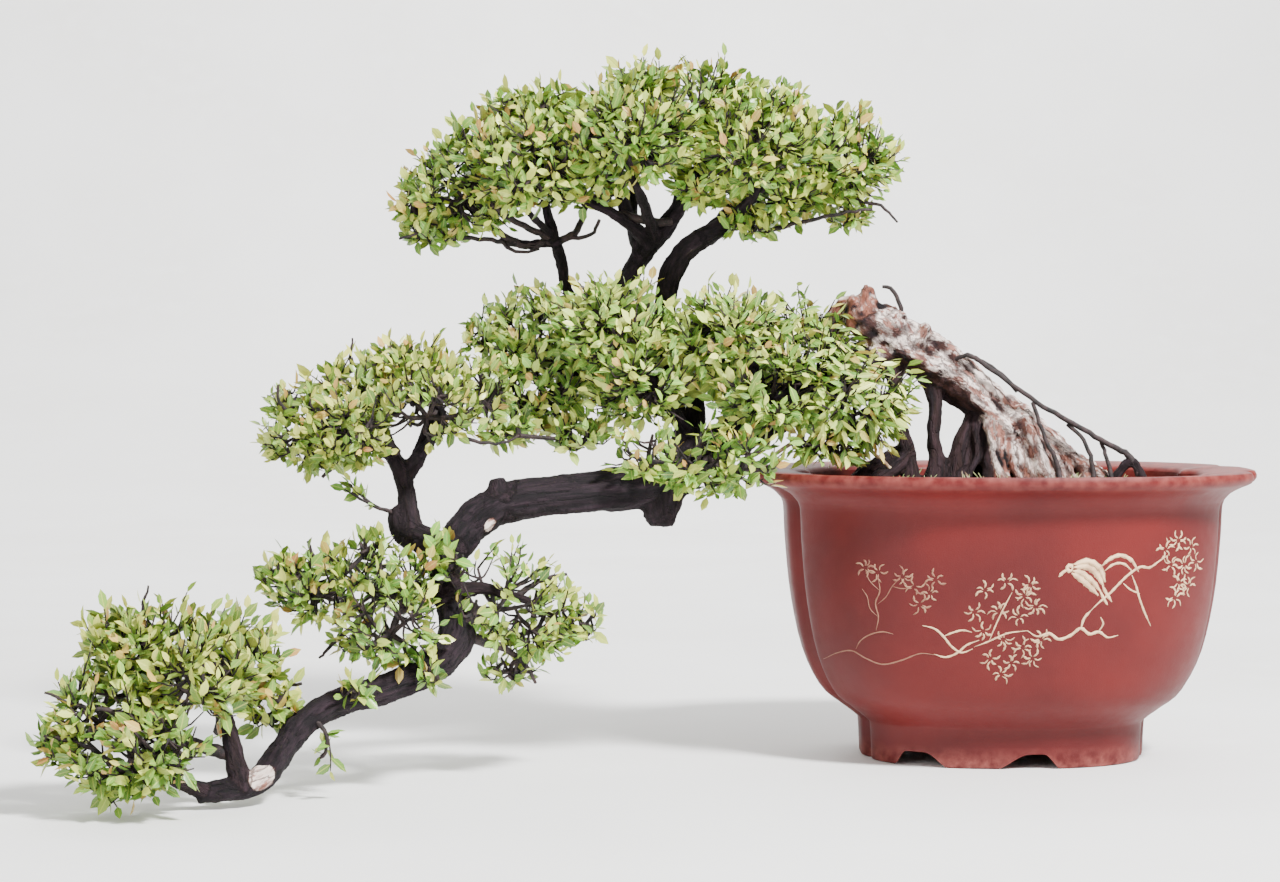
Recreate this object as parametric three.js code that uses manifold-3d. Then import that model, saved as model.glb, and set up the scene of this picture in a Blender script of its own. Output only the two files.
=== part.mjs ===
// A sweet plum (Sageretia) bonsai in the semi-cascade style, in its lobed red-clay pot.
//
// The old trunk leans left over exposed roots and ends in a cut stump. Below the stump a live limb
// falls past the rim and turns down to the left until it lies almost on the surface. Three thin stems
// rise from the limb and carry a flat crown. Millimetres, +Z up. Until the last lines everything is
// placed from the pot's own axis on the surface that the pot stands on; the group is then moved so
// that its origin is the bottom centre of the whole plant.

import * as THREE from "three";
import { mergeVertices } from "three/addons/utils/BufferGeometryUtils.js";
import Module from "manifold-3d";

const wasm = await Module();
wasm.setup();

// Driving dimensions of the pot
const RIM_HALF_LENGTH = 138; // axis to the lip's furthest point, along the pot's long side
const PLAN_DEPTH = 0.8; // the pot's depth as a share of its length
const PLAN_SQUARENESS = 2.35; // exponent of the rounded outline, 2 is an ellipse
const NOTCH_ANGLE = 14.1; // degrees from the long axis to each flute
const NOTCH_SHARE = 0.05; // how far a flute cuts in, as a share of the radius
const NOTCH_WIDTH = 3.4; // degrees
const POT_HEIGHT = 157.4;
const FLOOR_TOP = 26;
const FOOT_HEIGHT = 17; // height of the recess inside the foot ring
const DRAIN_RADIUS = 12;

// Driving dimensions of the soil and the drainage net
const SOIL_EDGE = 142;
const SOIL_CROWN = 150;
const NET_SIDE = 44;
const NET_THICKNESS = 1.6;
const NET_STRANDS = 3; // each way
const NET_STRAND_WIDTH = 6;

// Driving dimensions of the foliage
const BLADE_LENGTH = 26;
const BLADE_WIDTH = 18;
const BLADE_WIDEST = 0.5; // where along the blade
const BLADE_THICKNESS = 2; // at the rib
const BLADE_SPACING = 18; // along the core that the blades stand out of
const BLADE_ROOT = 4; // how far a blade is sunk into what it grows from
const CORE_SHARE = 0.78; // size of a lobe's core as a share of its reach to the leaf tips
const GAP = 0.35; // between neighbours that touch
const GROUND_GAP = 0.6;

const degrees = THREE.MathUtils.degToRad;
const vector = (x, y, z) => new THREE.Vector3(x, y, z);

// A small seeded generator, so that every build draws the same numbers.
function seededRandom(seed) {
  let state = seed;
  return () => {
    state = (state + 0x6d2b79f5) | 0;
    let mixed = Math.imul(state ^ (state >>> 15), 1 | state);
    mixed = (mixed + Math.imul(mixed ^ (mixed >>> 7), 61 | mixed)) ^ mixed;
    return ((mixed ^ (mixed >>> 14)) >>> 0) / 4294967296;
  };
}

// Solids

function solidFrom(geometry) {
  const bare = geometry.clone();
  for (const name of Object.keys(bare.attributes)) {
    if (name !== "position") bare.deleteAttribute(name);
  }
  const merged = mergeVertices(bare, 1e-4);
  return new wasm.Manifold(
    new wasm.Mesh({
      numProp: 3,
      vertProperties: merged.attributes.position.array,
      triVerts: new Uint32Array(merged.index.array),
    }),
  );
}

function geometryFrom(solid) {
  const mesh = solid.getMesh();
  const positions = new Float32Array(mesh.numVert * 3);
  for (let i = 0; i < mesh.numVert; i++) {
    positions.set(mesh.vertProperties.subarray(i * mesh.numProp, i * mesh.numProp + 3), i * 3);
  }
  const geometry = new THREE.BufferGeometry();
  geometry.setAttribute("position", new THREE.BufferAttribute(positions, 3));
  geometry.setIndex(new THREE.BufferAttribute(mesh.triVerts, 1));
  geometry.computeVertexNormals();
  return geometry;
}

const vertices = (geometry) => {
  const positions = geometry.attributes.position;
  return Array.from({ length: positions.count }, (_, i) =>
    new THREE.Vector3().fromBufferAttribute(positions, i),
  );
};

const joined = (solids) => wasm.Manifold.union(solids);

function largestBody(solid) {
  const bodies = solid.decompose();
  return bodies.reduce((best, body) => (body.volume() > best.volume() ? body : best));
}

// Closed skin over rings of points. Each ring has the same number of points; the ends close on a
// point where one is given, and otherwise on the middle of the ring.
function loftGeometry(rings, startPoint, endPoint) {
  const count = rings[0].length;
  const middle = (ring) =>
    ring.reduce((sum, point) => sum.add(point), vector(0, 0, 0)).divideScalar(count);
  const points = [...rings.flat(), startPoint ?? middle(rings[0]), endPoint ?? middle(rings.at(-1))];
  const start = points.length - 2;
  const end = points.length - 1;
  const index = [];
  for (let k = 0; k < rings.length - 1; k++) {
    for (let i = 0; i < count; i++) {
      const j = (i + 1) % count;
      const [a, b] = [k * count + i, k * count + j];
      index.push(a, b, b + count, a, b + count, a + count);
    }
  }
  const last = (rings.length - 1) * count;
  for (let i = 0; i < count; i++) {
    const j = (i + 1) % count;
    index.push(start, j, i, end, last + i, last + j);
  }
  const geometry = new THREE.BufferGeometry().setFromPoints(points);
  geometry.setIndex(index);
  return geometry;
}

// The pot

// Radius of the pot's outline in a direction, 1 at the middle of its ends.
function outlineRadius(angle) {
  const [c, s] = [Math.abs(Math.cos(angle)), Math.abs(Math.sin(angle)) / PLAN_DEPTH];
  const rounded = (c ** PLAN_SQUARENESS + s ** PLAN_SQUARENESS) ** (-1 / PLAN_SQUARENESS);
  const fromAxis = Math.abs((Math.atan2(Math.abs(Math.sin(angle)), c) * 180) / Math.PI);
  const flute = Math.exp(-(((fromAxis - NOTCH_ANGLE) / NOTCH_WIDTH) ** 2));
  return rounded * (1 - NOTCH_SHARE * flute);
}

// Directions that draw the outline: close together at the flutes, wide apart on the long lobes.
const QUARTER = [0, 8, 12.3, 14.1, 15.9, 22, 34, 50, 70, 90];
const SOIL_QUARTER = [0, 8, 14.1, 22, 50, 90];

function outlineRing(reach, z, quarter = QUARTER) {
  const half = [...quarter, ...quarter.slice(0, -1).reverse().map((a) => 180 - a)];
  const whole = [...half, ...half.slice(1, -1).map((a) => 180 + a)].map(degrees);
  return whole.map((a) => {
    const r = reach * outlineRadius(a);
    return vector(r * Math.cos(a), r * Math.sin(a), z);
  });
}

// Reach along the long axis and height, from the middle of the underside, round the outside and the
// lip, and down the inside to the floor.
const POT_PROFILE = [
  [66.5, FOOT_HEIGHT],
  [68, 0],
  [77, 0],
  [78.2, 20.8],
  [88, 29.3],
  [99, 38.5],
  [108.9, 58.5],
  [115.5, 88],
  [118.8, 121],
  [119.3, 136],
  [124, 144.5],
  [134.2, 149.8],
  [RIM_HALF_LENGTH, 154],
  [136, POT_HEIGHT],
  [113, 155.3],
  [109.5, 150],
  [106.5, 88],
  [97, 43],
  [80, FLOOR_TOP],
];

// The cuts in the foot's apron, hand-cut and not even: where each starts at the ground beside a
// foot, reaches its height, leaves it and comes down again to the drop in the middle.
const ARCH_HEIGHT = 8;
const ARCHES = [
  [-62.6, -57.5, -46, -33],
  [25.5, 17, 8, -10],
];

function archShape([outer, outerTop, innerTop, inner]) {
  const shape = new THREE.Shape();
  shape.moveTo(outer, -2);
  shape.lineTo(outer, 2);
  shape.quadraticCurveTo(THREE.MathUtils.lerp(outer, outerTop, 0.4), ARCH_HEIGHT, outerTop, ARCH_HEIGHT);
  shape.lineTo(innerTop, ARCH_HEIGHT);
  shape.quadraticCurveTo(THREE.MathUtils.lerp(innerTop, inner, 0.4), 6, inner, 0);
  shape.lineTo(inner, -2);
  shape.closePath();
  return shape;
}

function potSolid() {
  const rings = POT_PROFILE.map(([reach, z]) => outlineRing(reach, z));
  let pot = solidFrom(loftGeometry(rings, vector(0, 0, FOOT_HEIGHT), vector(0, 0, FLOOR_TOP)));
  for (const places of ARCHES) {
    const arch = new THREE.ExtrudeGeometry(archShape(places), {
      depth: 2 * RIM_HALF_LENGTH,
      bevelEnabled: false,
      curveSegments: 3,
    });
    arch.translate(0, 0, -RIM_HALF_LENGTH);
    arch.rotateX(degrees(90));
    pot = pot.subtract(solidFrom(arch));
  }
  const drain = new THREE.CylinderGeometry(DRAIN_RADIUS, DRAIN_RADIUS, 30, 20);
  drain.rotateX(degrees(90));
  drain.translate(0, 0, FLOOR_TOP);
  return pot.subtract(solidFrom(drain));
}

// A net of flat strands over the drain hole, under the soil.
function drainNetSolid() {
  const reach = (NET_SIDE - NET_STRAND_WIDTH) / 2;
  const strands = [];
  for (let i = 0; i < NET_STRANDS; i++) {
    const place = THREE.MathUtils.lerp(-reach, reach, i / (NET_STRANDS - 1));
    const along = new THREE.BoxGeometry(NET_SIDE, NET_STRAND_WIDTH, NET_THICKNESS);
    const across = new THREE.BoxGeometry(NET_STRAND_WIDTH, NET_SIDE, NET_THICKNESS);
    strands.push(solidFrom(along.translate(0, place, 0)), solidFrom(across.translate(place, 0, 0)));
  }
  return joined(strands).translate([0, 0, FLOOR_TOP + GAP + NET_THICKNESS / 2]);
}

// Soil that fills the pot to just under the rim and rises in a low mound towards the trunk.
function soilSolid(wood) {
  const random = seededRandom(41);
  const sides = [
    [79.4, FLOOR_TOP + GAP],
    [96.4, 43.4],
    [105.9, 88.3],
    [108, SOIL_EDGE - 1],
  ];
  const rings = sides.map(([reach, z]) => outlineRing(reach, z, SOIL_QUARTER));
  const edge = sides.at(-1)[0];
  for (const reach of [103, 76, 38]) {
    const rise = (SOIL_CROWN - SOIL_EDGE) * (1 - (reach / edge) ** 1.4);
    const ring = outlineRing(reach, SOIL_EDGE + rise, SOIL_QUARTER);
    rings.push(ring.map((p) => p.add(vector(0, 0, (random() - 0.5) * 2.4))));
  }
  const underside = vector(0, 0, FLOOR_TOP + GAP);
  const body = solidFrom(loftGeometry(rings, underside, vector(0, 0, SOIL_CROWN)));
  const seatHeight = 2 * (NET_THICKNESS + 2 * GAP);
  const seat = new THREE.BoxGeometry(NET_SIDE + 2 * GAP, NET_SIDE + 2 * GAP, seatHeight);
  seat.translate(0, 0, FLOOR_TOP);
  return largestBody(body.subtract(solidFrom(seat)).subtract(wood));
}

// The wood

// A branch as a tube through points [x, y, z, radius], with a slightly knotty outline and closed ends.
function branchSolid(points, sides, extra, seed) {
  const random = seededRandom(seed);
  const curve = new THREE.CatmullRomCurve3(
    points.map(([x, y, z]) => vector(x, y, z)),
    false,
    "centripetal",
  );
  const length = curve.getLength();
  const meanRadius = points.reduce((sum, p) => sum + p[3], 0) / points.length;
  const steps = Math.max(points.length - 1, Math.min(26, Math.round(length / (meanRadius * 4))));
  const frames = curve.computeFrenetFrames(steps, false);
  const rings = [];
  for (let k = 0; k <= steps; k++) {
    const t = curve.getUtoTmapping(k / steps);
    const place = t * (points.length - 1);
    const i = Math.min(points.length - 2, Math.floor(place));
    const radius = THREE.MathUtils.lerp(points[i][3], points[i + 1][3], place - i);
    const centre = curve.getPoint(t);
    const knot = 1 + (random() - 0.5) * 0.12;
    rings.push(
      Array.from({ length: sides }, (_, s) => {
        const angle = (s / sides) * 2 * Math.PI;
        const reach = radius * knot * (1 + (random() - 0.5) * 0.13) + extra;
        return centre
          .clone()
          .addScaledVector(frames.normals[k], reach * Math.cos(angle))
          .addScaledVector(frames.binormals[k], reach * Math.sin(angle));
      }),
    );
  }
  const ahead = (k, sign) =>
    curve.getPoint(k).addScaledVector(frames.tangents[k ? steps : 0], sign * (extra + 0.4));
  return solidFrom(loftGeometry(rings, ahead(0, -1), ahead(1, 1)));
}

// The leaning trunk that ends in a cut stump
const LOG = {
  log: [[70, 5, 143, 15], [47, 3, 162, 16], [27, 2, 175, 15], [5, 0, 189, 14], [-17, 0, 204, 14],
    [-34, 0, 215, 15.5], [-49, 0, 224, 15], [-64, -2, 232, 14], [-76, -4, 240, 12], [-85, -5, 244, 8.5]],
};

// The exposed roots that the trunk stands on, and the knobs of the stump
const ROOTS = {
  leg_outer: [[-60, -6, 219, 5], [-58, -10, 189, 3.8], [-52, -14, 163, 4.4], [-50, -16, 136, 6.5]],
  leg_front: [[-40, -3, 209, 7], [-38, -8, 193, 4.8], [-38, -12, 171, 5], [-40, -17, 136, 9]],
  leg_middle: [[-22, 2, 201, 7.5], [-19, 5, 189, 4.6], [-17, 8, 173, 4.6], [-12, 13, 136, 8.5]],
  leg_inner: [[-7, -5, 194, 8], [-5, -12, 179, 5], [-6, -24, 136, 9]],
  leg_back: [[-8, 6, 196, 8], [-6, 24, 176, 6], [-8, 40, 134, 9]],
  root_front: [[8, -4, 187, 9], [16, -16, 171, 7], [27, -34, 138, 8.5]],
  root_back: [[8, 6, 187, 9], [15, 20, 171, 8], [26, 38, 137, 8]],
  root_right: [[30, -4, 173, 8], [48, -14, 161, 6], [73, -30, 139, 5]],
  root_right_back: [[28, 6, 174, 8], [48, 18, 160, 6], [69, 36, 138, 5]],
  heart: [[-12, -1, 179, 7], [-14, -3, 163, 13], [-14, -4, 105, 16]],
  stump_scar: [[-80, -4, 239, 9], [-84, -9, 251, 5], [-83, -12, 255, 3]],
  stump_knob: [[-68, -2, 236, 9], [-72, 3, 255, 4]],
};

// Thin roots and dead twigs on the trunk
const FINE_ROOTS = {
  over_root: [[-30, -6, 213, 2.8], [-18, -14, 218, 2.8], [0, -17, 206, 2.8], [41, -19, 181, 3],
    [65, -24, 165, 3.2], [78, -27, 139, 3.6]],
  stump_loop: [[-70, -5, 241, 3], [-67, -7, 254, 2.6], [-61, -6, 253, 2.4], [-56, -2, 231, 3]],
};

// The falling limb with its stubs, then the three stems of the crown
const LIMB = {
  limb: [[-52, 0, 227, 12], [-96, -12, 204, 11.5], [-142, -24, 179, 11.5], [-164, -30, 166, 12],
    [-181, -36, 154, 12.5], [-196, -42, 148, 11.5], [-220, -50, 145, 10.8], [-265, -69, 141, 10.4],
    [-283, -78, 133.5, 10], [-294, -87, 122.5, 9.5], [-299, -96, 108, 8.5], [-294, -105, 90.5, 8.8],
    [-295, -116, 74, 9], [-307, -126, 61.5, 8], [-328, -138, 52, 7.2], [-349, -150, 45.5, 6.8],
    [-364, -162, 36, 6.8], [-373, -172, 24.5, 6.8], [-383, -182, 14.5, 6.8], [-396, -189, 11, 5.8],
    [-413, -195, 9.5, 4.6]],
};

const STUBS = {
  knob_under: [[-186, -38, 150, 10], [-186, -40, 138, 8], [-188, -41, 129, 5]],
  knob_over: [[-272, -72, 138, 8], [-273, -72, 147, 5.5], [-274, -72, 152, 4]],
  left_arm: [[-296, -90, 119.5, 8], [-312, -87, 124.5, 7.5], [-322, -84, 129.5, 7], [-326, -81, 140.5, 4.6]],
};

const STEMS = {
  riser: [[-179, -35, 156, 9], [-174, -22, 171, 8.5], [-171, -8, 187, 8], [-175, 4, 206, 7.5],
    [-182, 10, 225, 7]],
  right: [[-178, 6, 210, 6.5], [-183, 10, 231, 6.5], [-185, 8, 243, 6.2], [-183, 5, 259, 6.2],
    [-176, 3, 275, 6.2], [-164, 2, 284, 5.8], [-146, 2, 293, 4.8], [-123, 4, 302, 3.8], [-88, 3, 321, 2.4]],
  middle: [[-177, 5, 209, 6], [-193, 14, 229, 5.6], [-209, 16, 247, 5.4], [-206, 15, 260, 5.6],
    [-196, 12, 277, 5.6], [-184, 8, 291, 5.4], [-176, 4, 308, 4], [-180, 1, 353, 2.4]],
  left: [[-188, 12, 223, 5], [-214, 24, 233, 4.2], [-234, 26, 247, 3.6], [-240, 22, 259, 3.2],
    [-243, 16, 275, 3.4], [-247, 12, 287, 3.4], [-251, 8, 305, 2.6], [-256, 1, 341, 2]],
  left_pad: [[-317, -86, 125.5, 6.6], [-320, -81, 141.5, 5.4], [-323, -75, 156, 5], [-330, -72, 170, 4.4],
    [-338, -70, 185, 3.4], [-351, -76, 199, 2.2]],
};

// Branches that leave the stems and the limb and end inside the heads that they carry
const BRANCHES = {
  right_back: [[-164, 2, 284, 4], [-148, 20, 301, 3.4], [-132, 30, 327, 2]],
  right_front: [[-150, 2, 292, 3.6], [-138, -20, 305, 3], [-133, -30, 317, 2]],
  middle_left: [[-193, 11, 281, 4.6], [-206, 7, 297, 4], [-214, 5, 339, 2.2]],
  middle_back: [[-199, 12, 273, 4], [-203, 32, 299, 3.2], [-200, 42, 329, 2]],
  middle_front: [[-190, 10, 284, 4], [-197, -20, 303, 3], [-204, -36, 317, 2]],
  left_out: [[-245, 13, 282, 2.8], [-268, 8, 282, 2.4], [-298, 2, 305, 1.8]],
  left_low: [[-247, 12, 285, 2.6], [-259, -12, 297, 2], [-267, -28, 307, 1.6]],
  left_pad_inner: [[-323, -75, 154, 4.4], [-314, -69, 169, 4], [-304, -56, 205, 2.4]],
  left_pad_far: [[-329, -72, 167, 3.2], [-345, -84, 175.5, 2.6], [-369, -93, 183.5, 1.8]],
  lower_left: [[-298, -99, 100, 5], [-313, -104, 97.5, 4], [-338, -117, 100.5, 2.6]],
  lower_right: [[-296, -105, 95.5, 4.4], [-283, -99, 100, 3.6], [-256, -82, 91.5, 2]],
  end_riser: [[-393, -189, 12.5, 5.2], [-398, -182, 28.5, 4.6], [-408, -174, 69.5, 2.4]],
  end_tip: [[-411, -195, 9.5, 4.4], [-426, -206, 18.5, 3.2], [-447, -214, 36, 2]],
  crown_back: [[-184, 11, 227, 5], [-196, 22, 225, 4], [-204, 30, 223, 2.6]],
  crown_front: [[-171, -20, 174, 5], [-183, -34, 192, 4.2], [-193, -40, 209, 3]],
  crown_right: [[-142, -24, 179, 6], [-136, -30, 197, 5], [-137, -22, 223, 3]],
  crown_left: [[-181, -2, 196, 5], [-208, 6, 203, 4], [-242, 10, 213, 2.8]],
  crown_end: [[-100, -13, 202, 6], [-94, -24, 203, 5], [-82, -38, 199, 3]],
  crown_low: [[-164, -34, 169, 5], [-164, -46, 170, 4], [-163, -57, 166, 3]],
};

// Each group of the wood with the number of sides of its tubes
const WOOD_GROUPS = [
  [LOG, 7],
  [ROOTS, 5],
  [FINE_ROOTS, 3],
  [LIMB, 7],
  [STUBS, 5],
  [STEMS, 5],
  [BRANCHES, 4],
];

function woodSolid(extra) {
  let seed = 100;
  const tubes = WOOD_GROUPS.flatMap(([group, sides]) =>
    Object.values(group).map((points) => branchSolid(points, sides, extra, (seed += 1))),
  );
  return largestBody(joined(tubes));
}

// The foliage

// One blade from its root at the origin, growing along X with its face up: a pointed oval of four
// points round a flat underside, and one on the rib that the two halves of the face fall away from.
function bladeGeometry(length, width) {
  const points = [
    vector(0, 0, 0),
    vector(BLADE_WIDEST * length, -width / 2, 0),
    vector(length, 0, 0),
    vector(BLADE_WIDEST * length, width / 2, 0),
    vector(BLADE_WIDEST * length, 0, BLADE_THICKNESS),
  ];
  const geometry = new THREE.BufferGeometry().setFromPoints(points);
  geometry.setIndex([0, 3, 1, 1, 3, 2, 4, 0, 1, 4, 1, 2, 4, 2, 3, 4, 3, 0]);
  return geometry;
}

// Turns and places a geometry that grows along X: along is its direction, face what its face looks at.
function placed(geometry, root, along, face) {
  const x = along.clone().normalize();
  const y = face.clone().cross(x).normalize();
  const z = x.clone().cross(y);
  return geometry.applyMatrix4(new THREE.Matrix4().makeBasis(x, y, z).setPosition(root));
}

// Whether a point is clear of the ground and of the space round the pot's rim.
function isClear(p) {
  if (p.z < GROUND_GAP) return false;
  if (p.z > POT_HEIGHT + 3) return true;
  return Math.hypot(p.x, p.y) > (RIM_HALF_LENGTH + 4) * outlineRadius(Math.atan2(p.y, p.x));
}

const inCell = (p, cell) => cell.every(([x, y, z, most]) => p.x * x + p.y * y + p.z * z < most);

// What lies within a cell, as a solid.
function cellSolid(cell) {
  const reach = 1200;
  const sides = cell.map(([x, y, z, most]) => {
    const way = vector(x, y, z);
    const place = most / way.length();
    way.normalize();
    const block = new THREE.BoxGeometry(reach, reach, reach).translate(place - reach / 2, 0, 0);
    block.applyQuaternion(new THREE.Quaternion().setFromUnitVectors(vector(1, 0, 0), way));
    return solidFrom(block);
  });
  return wasm.Manifold.intersection(sides);
}

// A lobe's core: a lump of twenty faces, and the planes of those faces seen from its centre.
function coreOf([x, y, z, ...reach], random) {
  const centre = vector(x, y, z);
  const radii = vector(...reach).multiplyScalar(CORE_SHARE);
  const lump = new THREE.IcosahedronGeometry(1, 0);
  lump.rotateZ(random() * 3).rotateX(random() * 3);
  lump.scale(radii.x, radii.y, radii.z);
  const corners = vertices(lump);
  const faces = [];
  for (let i = 0; i < corners.length; i += 3) {
    const face = new THREE.Triangle(corners[i], corners[i + 1], corners[i + 2]);
    const normal = face.getNormal(vector(0, 0, 0));
    faces.push({ face, normal, reach: face.a.dot(normal) });
  }
  return { centre, radii, faces, solid: solidFrom(lump.translate(x, y, z)) };
}

// How deep a point lies in a core: under 1 inside it.
function depthIn(p, core) {
  const offset = p.clone().sub(core.centre);
  return Math.max(...core.faces.map(({ normal, reach }) => offset.dot(normal) / reach));
}

// Where blades root on a face of a core, as shares of its three corners, for one, two or three.
const ROOT_SHARES = [
  [[0.34, 0.33, 0.33]],
  [[0.58, 0.27, 0.15], [0.15, 0.27, 0.58]],
  [[0.62, 0.19, 0.19], [0.19, 0.62, 0.19], [0.19, 0.19, 0.62]],
];

function rootSites(core) {
  return core.faces.flatMap(({ face }) => {
    const count = Math.round(face.getArea() / BLADE_SPACING ** 2);
    const shares = ROOT_SHARES[THREE.MathUtils.clamp(count, 1, ROOT_SHARES.length) - 1];
    return shares.map(([a, b, c]) => {
      const offset = vector(0, 0, 0).addScaledVector(face.a, a).addScaledVector(face.b, b);
      offset.addScaledVector(face.c, c);
      const normal = offset.clone().divide(core.radii).divide(core.radii).normalize();
      return { core, normal, point: offset.add(core.centre) };
    });
  });
}

function randomTangent(normal, random) {
  const any = vector(random() - 0.5, random() - 0.5, random() - 0.5);
  return any.addScaledVector(normal, -any.dot(normal)).normalize();
}

// A blade that stands out of a place on a head, tried at several turns until it is clear of the
// ground, the pot, the neighbouring heads and cores, and the blades before it. Null where none is.
function growBlade(site, head, random) {
  const outward = site.point.clone().sub(head.middle).normalize().add(vector(0, 0, 0.5));
  outward.addScaledVector(site.normal, -outward.dot(site.normal));
  for (let turn = 0; turn < 14; turn++) {
    const lean = outward.clone().addScaledVector(randomTangent(site.normal, random), 0.35 + turn / 10);
    const along = site.normal.clone().multiplyScalar(0.6 + turn / 16).add(lean.setLength(0.8)).normalize();
    const face = site.normal.clone().addScaledVector(randomTangent(site.normal, random), 0.3);
    const size = (0.88 + 0.26 * random()) * (turn > 9 ? 0.8 : 1);
    const geometry = bladeGeometry(BLADE_LENGTH * size, BLADE_WIDTH * size);
    const root = site.point.clone().addScaledVector(along, -BLADE_ROOT);
    const corners = vertices(placed(geometry, root, along, face));
    if (!corners.every((p) => inCell(p, head.cell) && isClear(p))) continue;
    const others = head.cores.filter((core) => core !== site.core);
    if (corners.slice(1).some((p) => others.some((core) => depthIn(p, core) < 1.02))) continue;
    const blade = solidFrom(geometry);
    if (head.blades.some((other) => !blade.intersect(other).isEmpty())) continue;
    return blade;
  }
  return null;
}

// A head of foliage: lobes that share one body, each a small core that blades stand out of. A lobe
// is [x, y, z, reach along X, along Y, along Z] out to its leaf tips. A cell is a list of planes
// that keep the head clear of its neighbours.
function headSolid(lobes, cell, seed) {
  const random = seededRandom(seed);
  const cores = lobes.map((lobe) => coreOf(lobe, random));
  const middle = cores.reduce((sum, core) => sum.add(core.centre), vector(0, 0, 0));
  const head = { cores, cell, blades: [], middle: middle.divideScalar(cores.length) };
  for (const site of cores.flatMap(rootSites)) {
    if (!inCell(site.point, cell)) continue;
    if (cores.some((core) => core !== site.core && depthIn(site.point, core) < 1.05)) continue;
    const blade = growBlade(site, head, random);
    if (blade) head.blades.push(blade);
  }
  const lumps = joined(cores.map((core) => core.solid)).intersect(cellSolid(cell));
  return joined([lumps, ...head.blades]);
}

// A twig with alternate blades, which grows from the wood and not from a head.
function sprigSolid(points, seed) {
  const random = seededRandom(seed);
  const twig = branchSolid(points, 4, 0, seed);
  const ends = points.map(([x, y, z]) => vector(x, y, z));
  const curve = new THREE.CatmullRomCurve3(ends);
  const solids = [twig];
  for (const [i, share] of [0.42, 0.6, 0.78, 0.97].entries()) {
    const along = curve.getTangent(share);
    const side = vector(0.2, i % 2 ? 1 : -1, 0.3 * random()).cross(along).normalize();
    const way = along.clone().multiplyScalar(share > 0.9 ? 1.4 : 0.5).add(side).normalize();
    const start = curve.getPoint(share).addScaledVector(way, -0.9);
    const blade = bladeGeometry(BLADE_LENGTH * 0.62, BLADE_WIDTH * 0.66);
    solids.push(solidFrom(placed(blade, start, way, vector(0.3, -0.9, 0.4))));
  }
  return joined(solids);
}

// Planes between neighbouring heads, as [x, y, z, most]: a point stays where x*X + y*Y + z*Z < most.
const left = (x) => [1, 0, 0, x - 0.5];
const right = (x) => [-1, 0, 0, -x - 0.5];
const under = (z) => [0, 0, 1, z - 0.5];
const above = (z) => [0, 0, -1, -z - 0.5];
const before = ([x, y, z, most]) => [x, y, z, most - 0.7];
const beyond = ([x, y, z, most]) => [-x, -y, -z, -most - 0.7];
const MIDDLE_AND_LOW = [0, 0.5, 1, 160]; // between the middle pad and the head under its front
const LOW_AND_TIP = [1, 0, 1, -296]; // between the lower pad and the pad at the tip
const TIP_SPLIT = [0.5, 0, 0.87, -167.5]; // between the tip's upper and lower heads

const HEADS = {
  crown: {
    lobes: [[-298, 0, 312, 41, 40, 31], [-262, 28, 334, 42, 38, 30], [-256, -26, 324, 42, 38, 30],
      [-212, 32, 346, 44, 42, 30], [-204, -30, 338, 44, 40, 29], [-172, 10, 355, 42, 44, 28],
      [-134, 34, 340, 42, 38, 30], [-138, -28, 330, 42, 38, 30], [-98, 0, 328, 44, 42, 31],
      [-122, 0, 311, 36, 36, 24]],
    cell: [above(269)],
  },
  middle: {
    lobes: [[-257, 6, 235, 36, 38, 30], [-252, -4, 204, 37, 36, 30], [-230, 2, 222, 38, 36, 30],
      [-218, 26, 218, 40, 38, 30], [-212, -30, 236, 42, 36, 30], [-196, -32, 206, 38, 34, 30],
      [-150, -28, 230, 42, 38, 30], [-150, 30, 222, 42, 38, 30], [-110, -4, 222, 40, 40, 30],
      [-128, -42, 202, 38, 32, 28], [-106, -28, 212, 38, 36, 30], [-84, -42, 195, 36, 34, 29]],
    cell: [right(-283), under(269), beyond(MIDDLE_AND_LOW)],
  },
  middle_low: {
    lobes: [[-200, -60, 166, 31, 26, 21], [-172, -65, 165, 31, 27, 22], [-146, -61, 164, 27, 25, 20]],
    cell: [before(MIDDLE_AND_LOW)],
  },
  left: {
    lobes: [[-373, -97, 180, 31, 30, 27], [-350, -78, 194, 34, 31, 28], [-346, -112, 179, 31, 28, 26],
      [-316, -62, 203, 36, 31, 28], [-309, -92, 195, 31, 30, 27]],
    cell: [left(-283), above(151)],
  },
  lower_left: {
    lobes: [[-364, -110, 104, 33, 30, 24], [-333, -112, 105, 36, 33, 27], [-324, -136, 88, 29, 27, 25]],
    cell: [left(-298), under(132), beyond(LOW_AND_TIP)],
  },
  lower_right: {
    lobes: [[-273, -97, 96, 36, 31, 30], [-253, -86, 85, 31, 30, 27]],
    cell: [right(-298), under(132)],
  },
  tip_upper: {
    lobes: [[-432, -188, 77, 36, 35, 30], [-400, -164, 72, 35, 34, 29], [-410, -202, 64, 30, 29, 26]],
    cell: [before(LOW_AND_TIP), beyond(TIP_SPLIT)],
  },
  tip_lower: {
    lobes: [[-460, -208, 50, 31, 31, 28], [-446, -214, 28, 34, 31, 23], [-426, -226, 38, 27, 26, 23]],
    cell: [before(TIP_SPLIT)],
  },
};

const SPRIGS = {
  sprig_on_arm: [[-327, -82, 136.5, 1.5], [-339, -80, 142, 1.2], [-347, -78, 143, 1]],
  sprig_under_limb: [[-358, -154, 34, 1.4], [-357, -153, 25.5, 1.2], [-353, -152, 15.5, 1]],
};

// Materials

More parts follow.
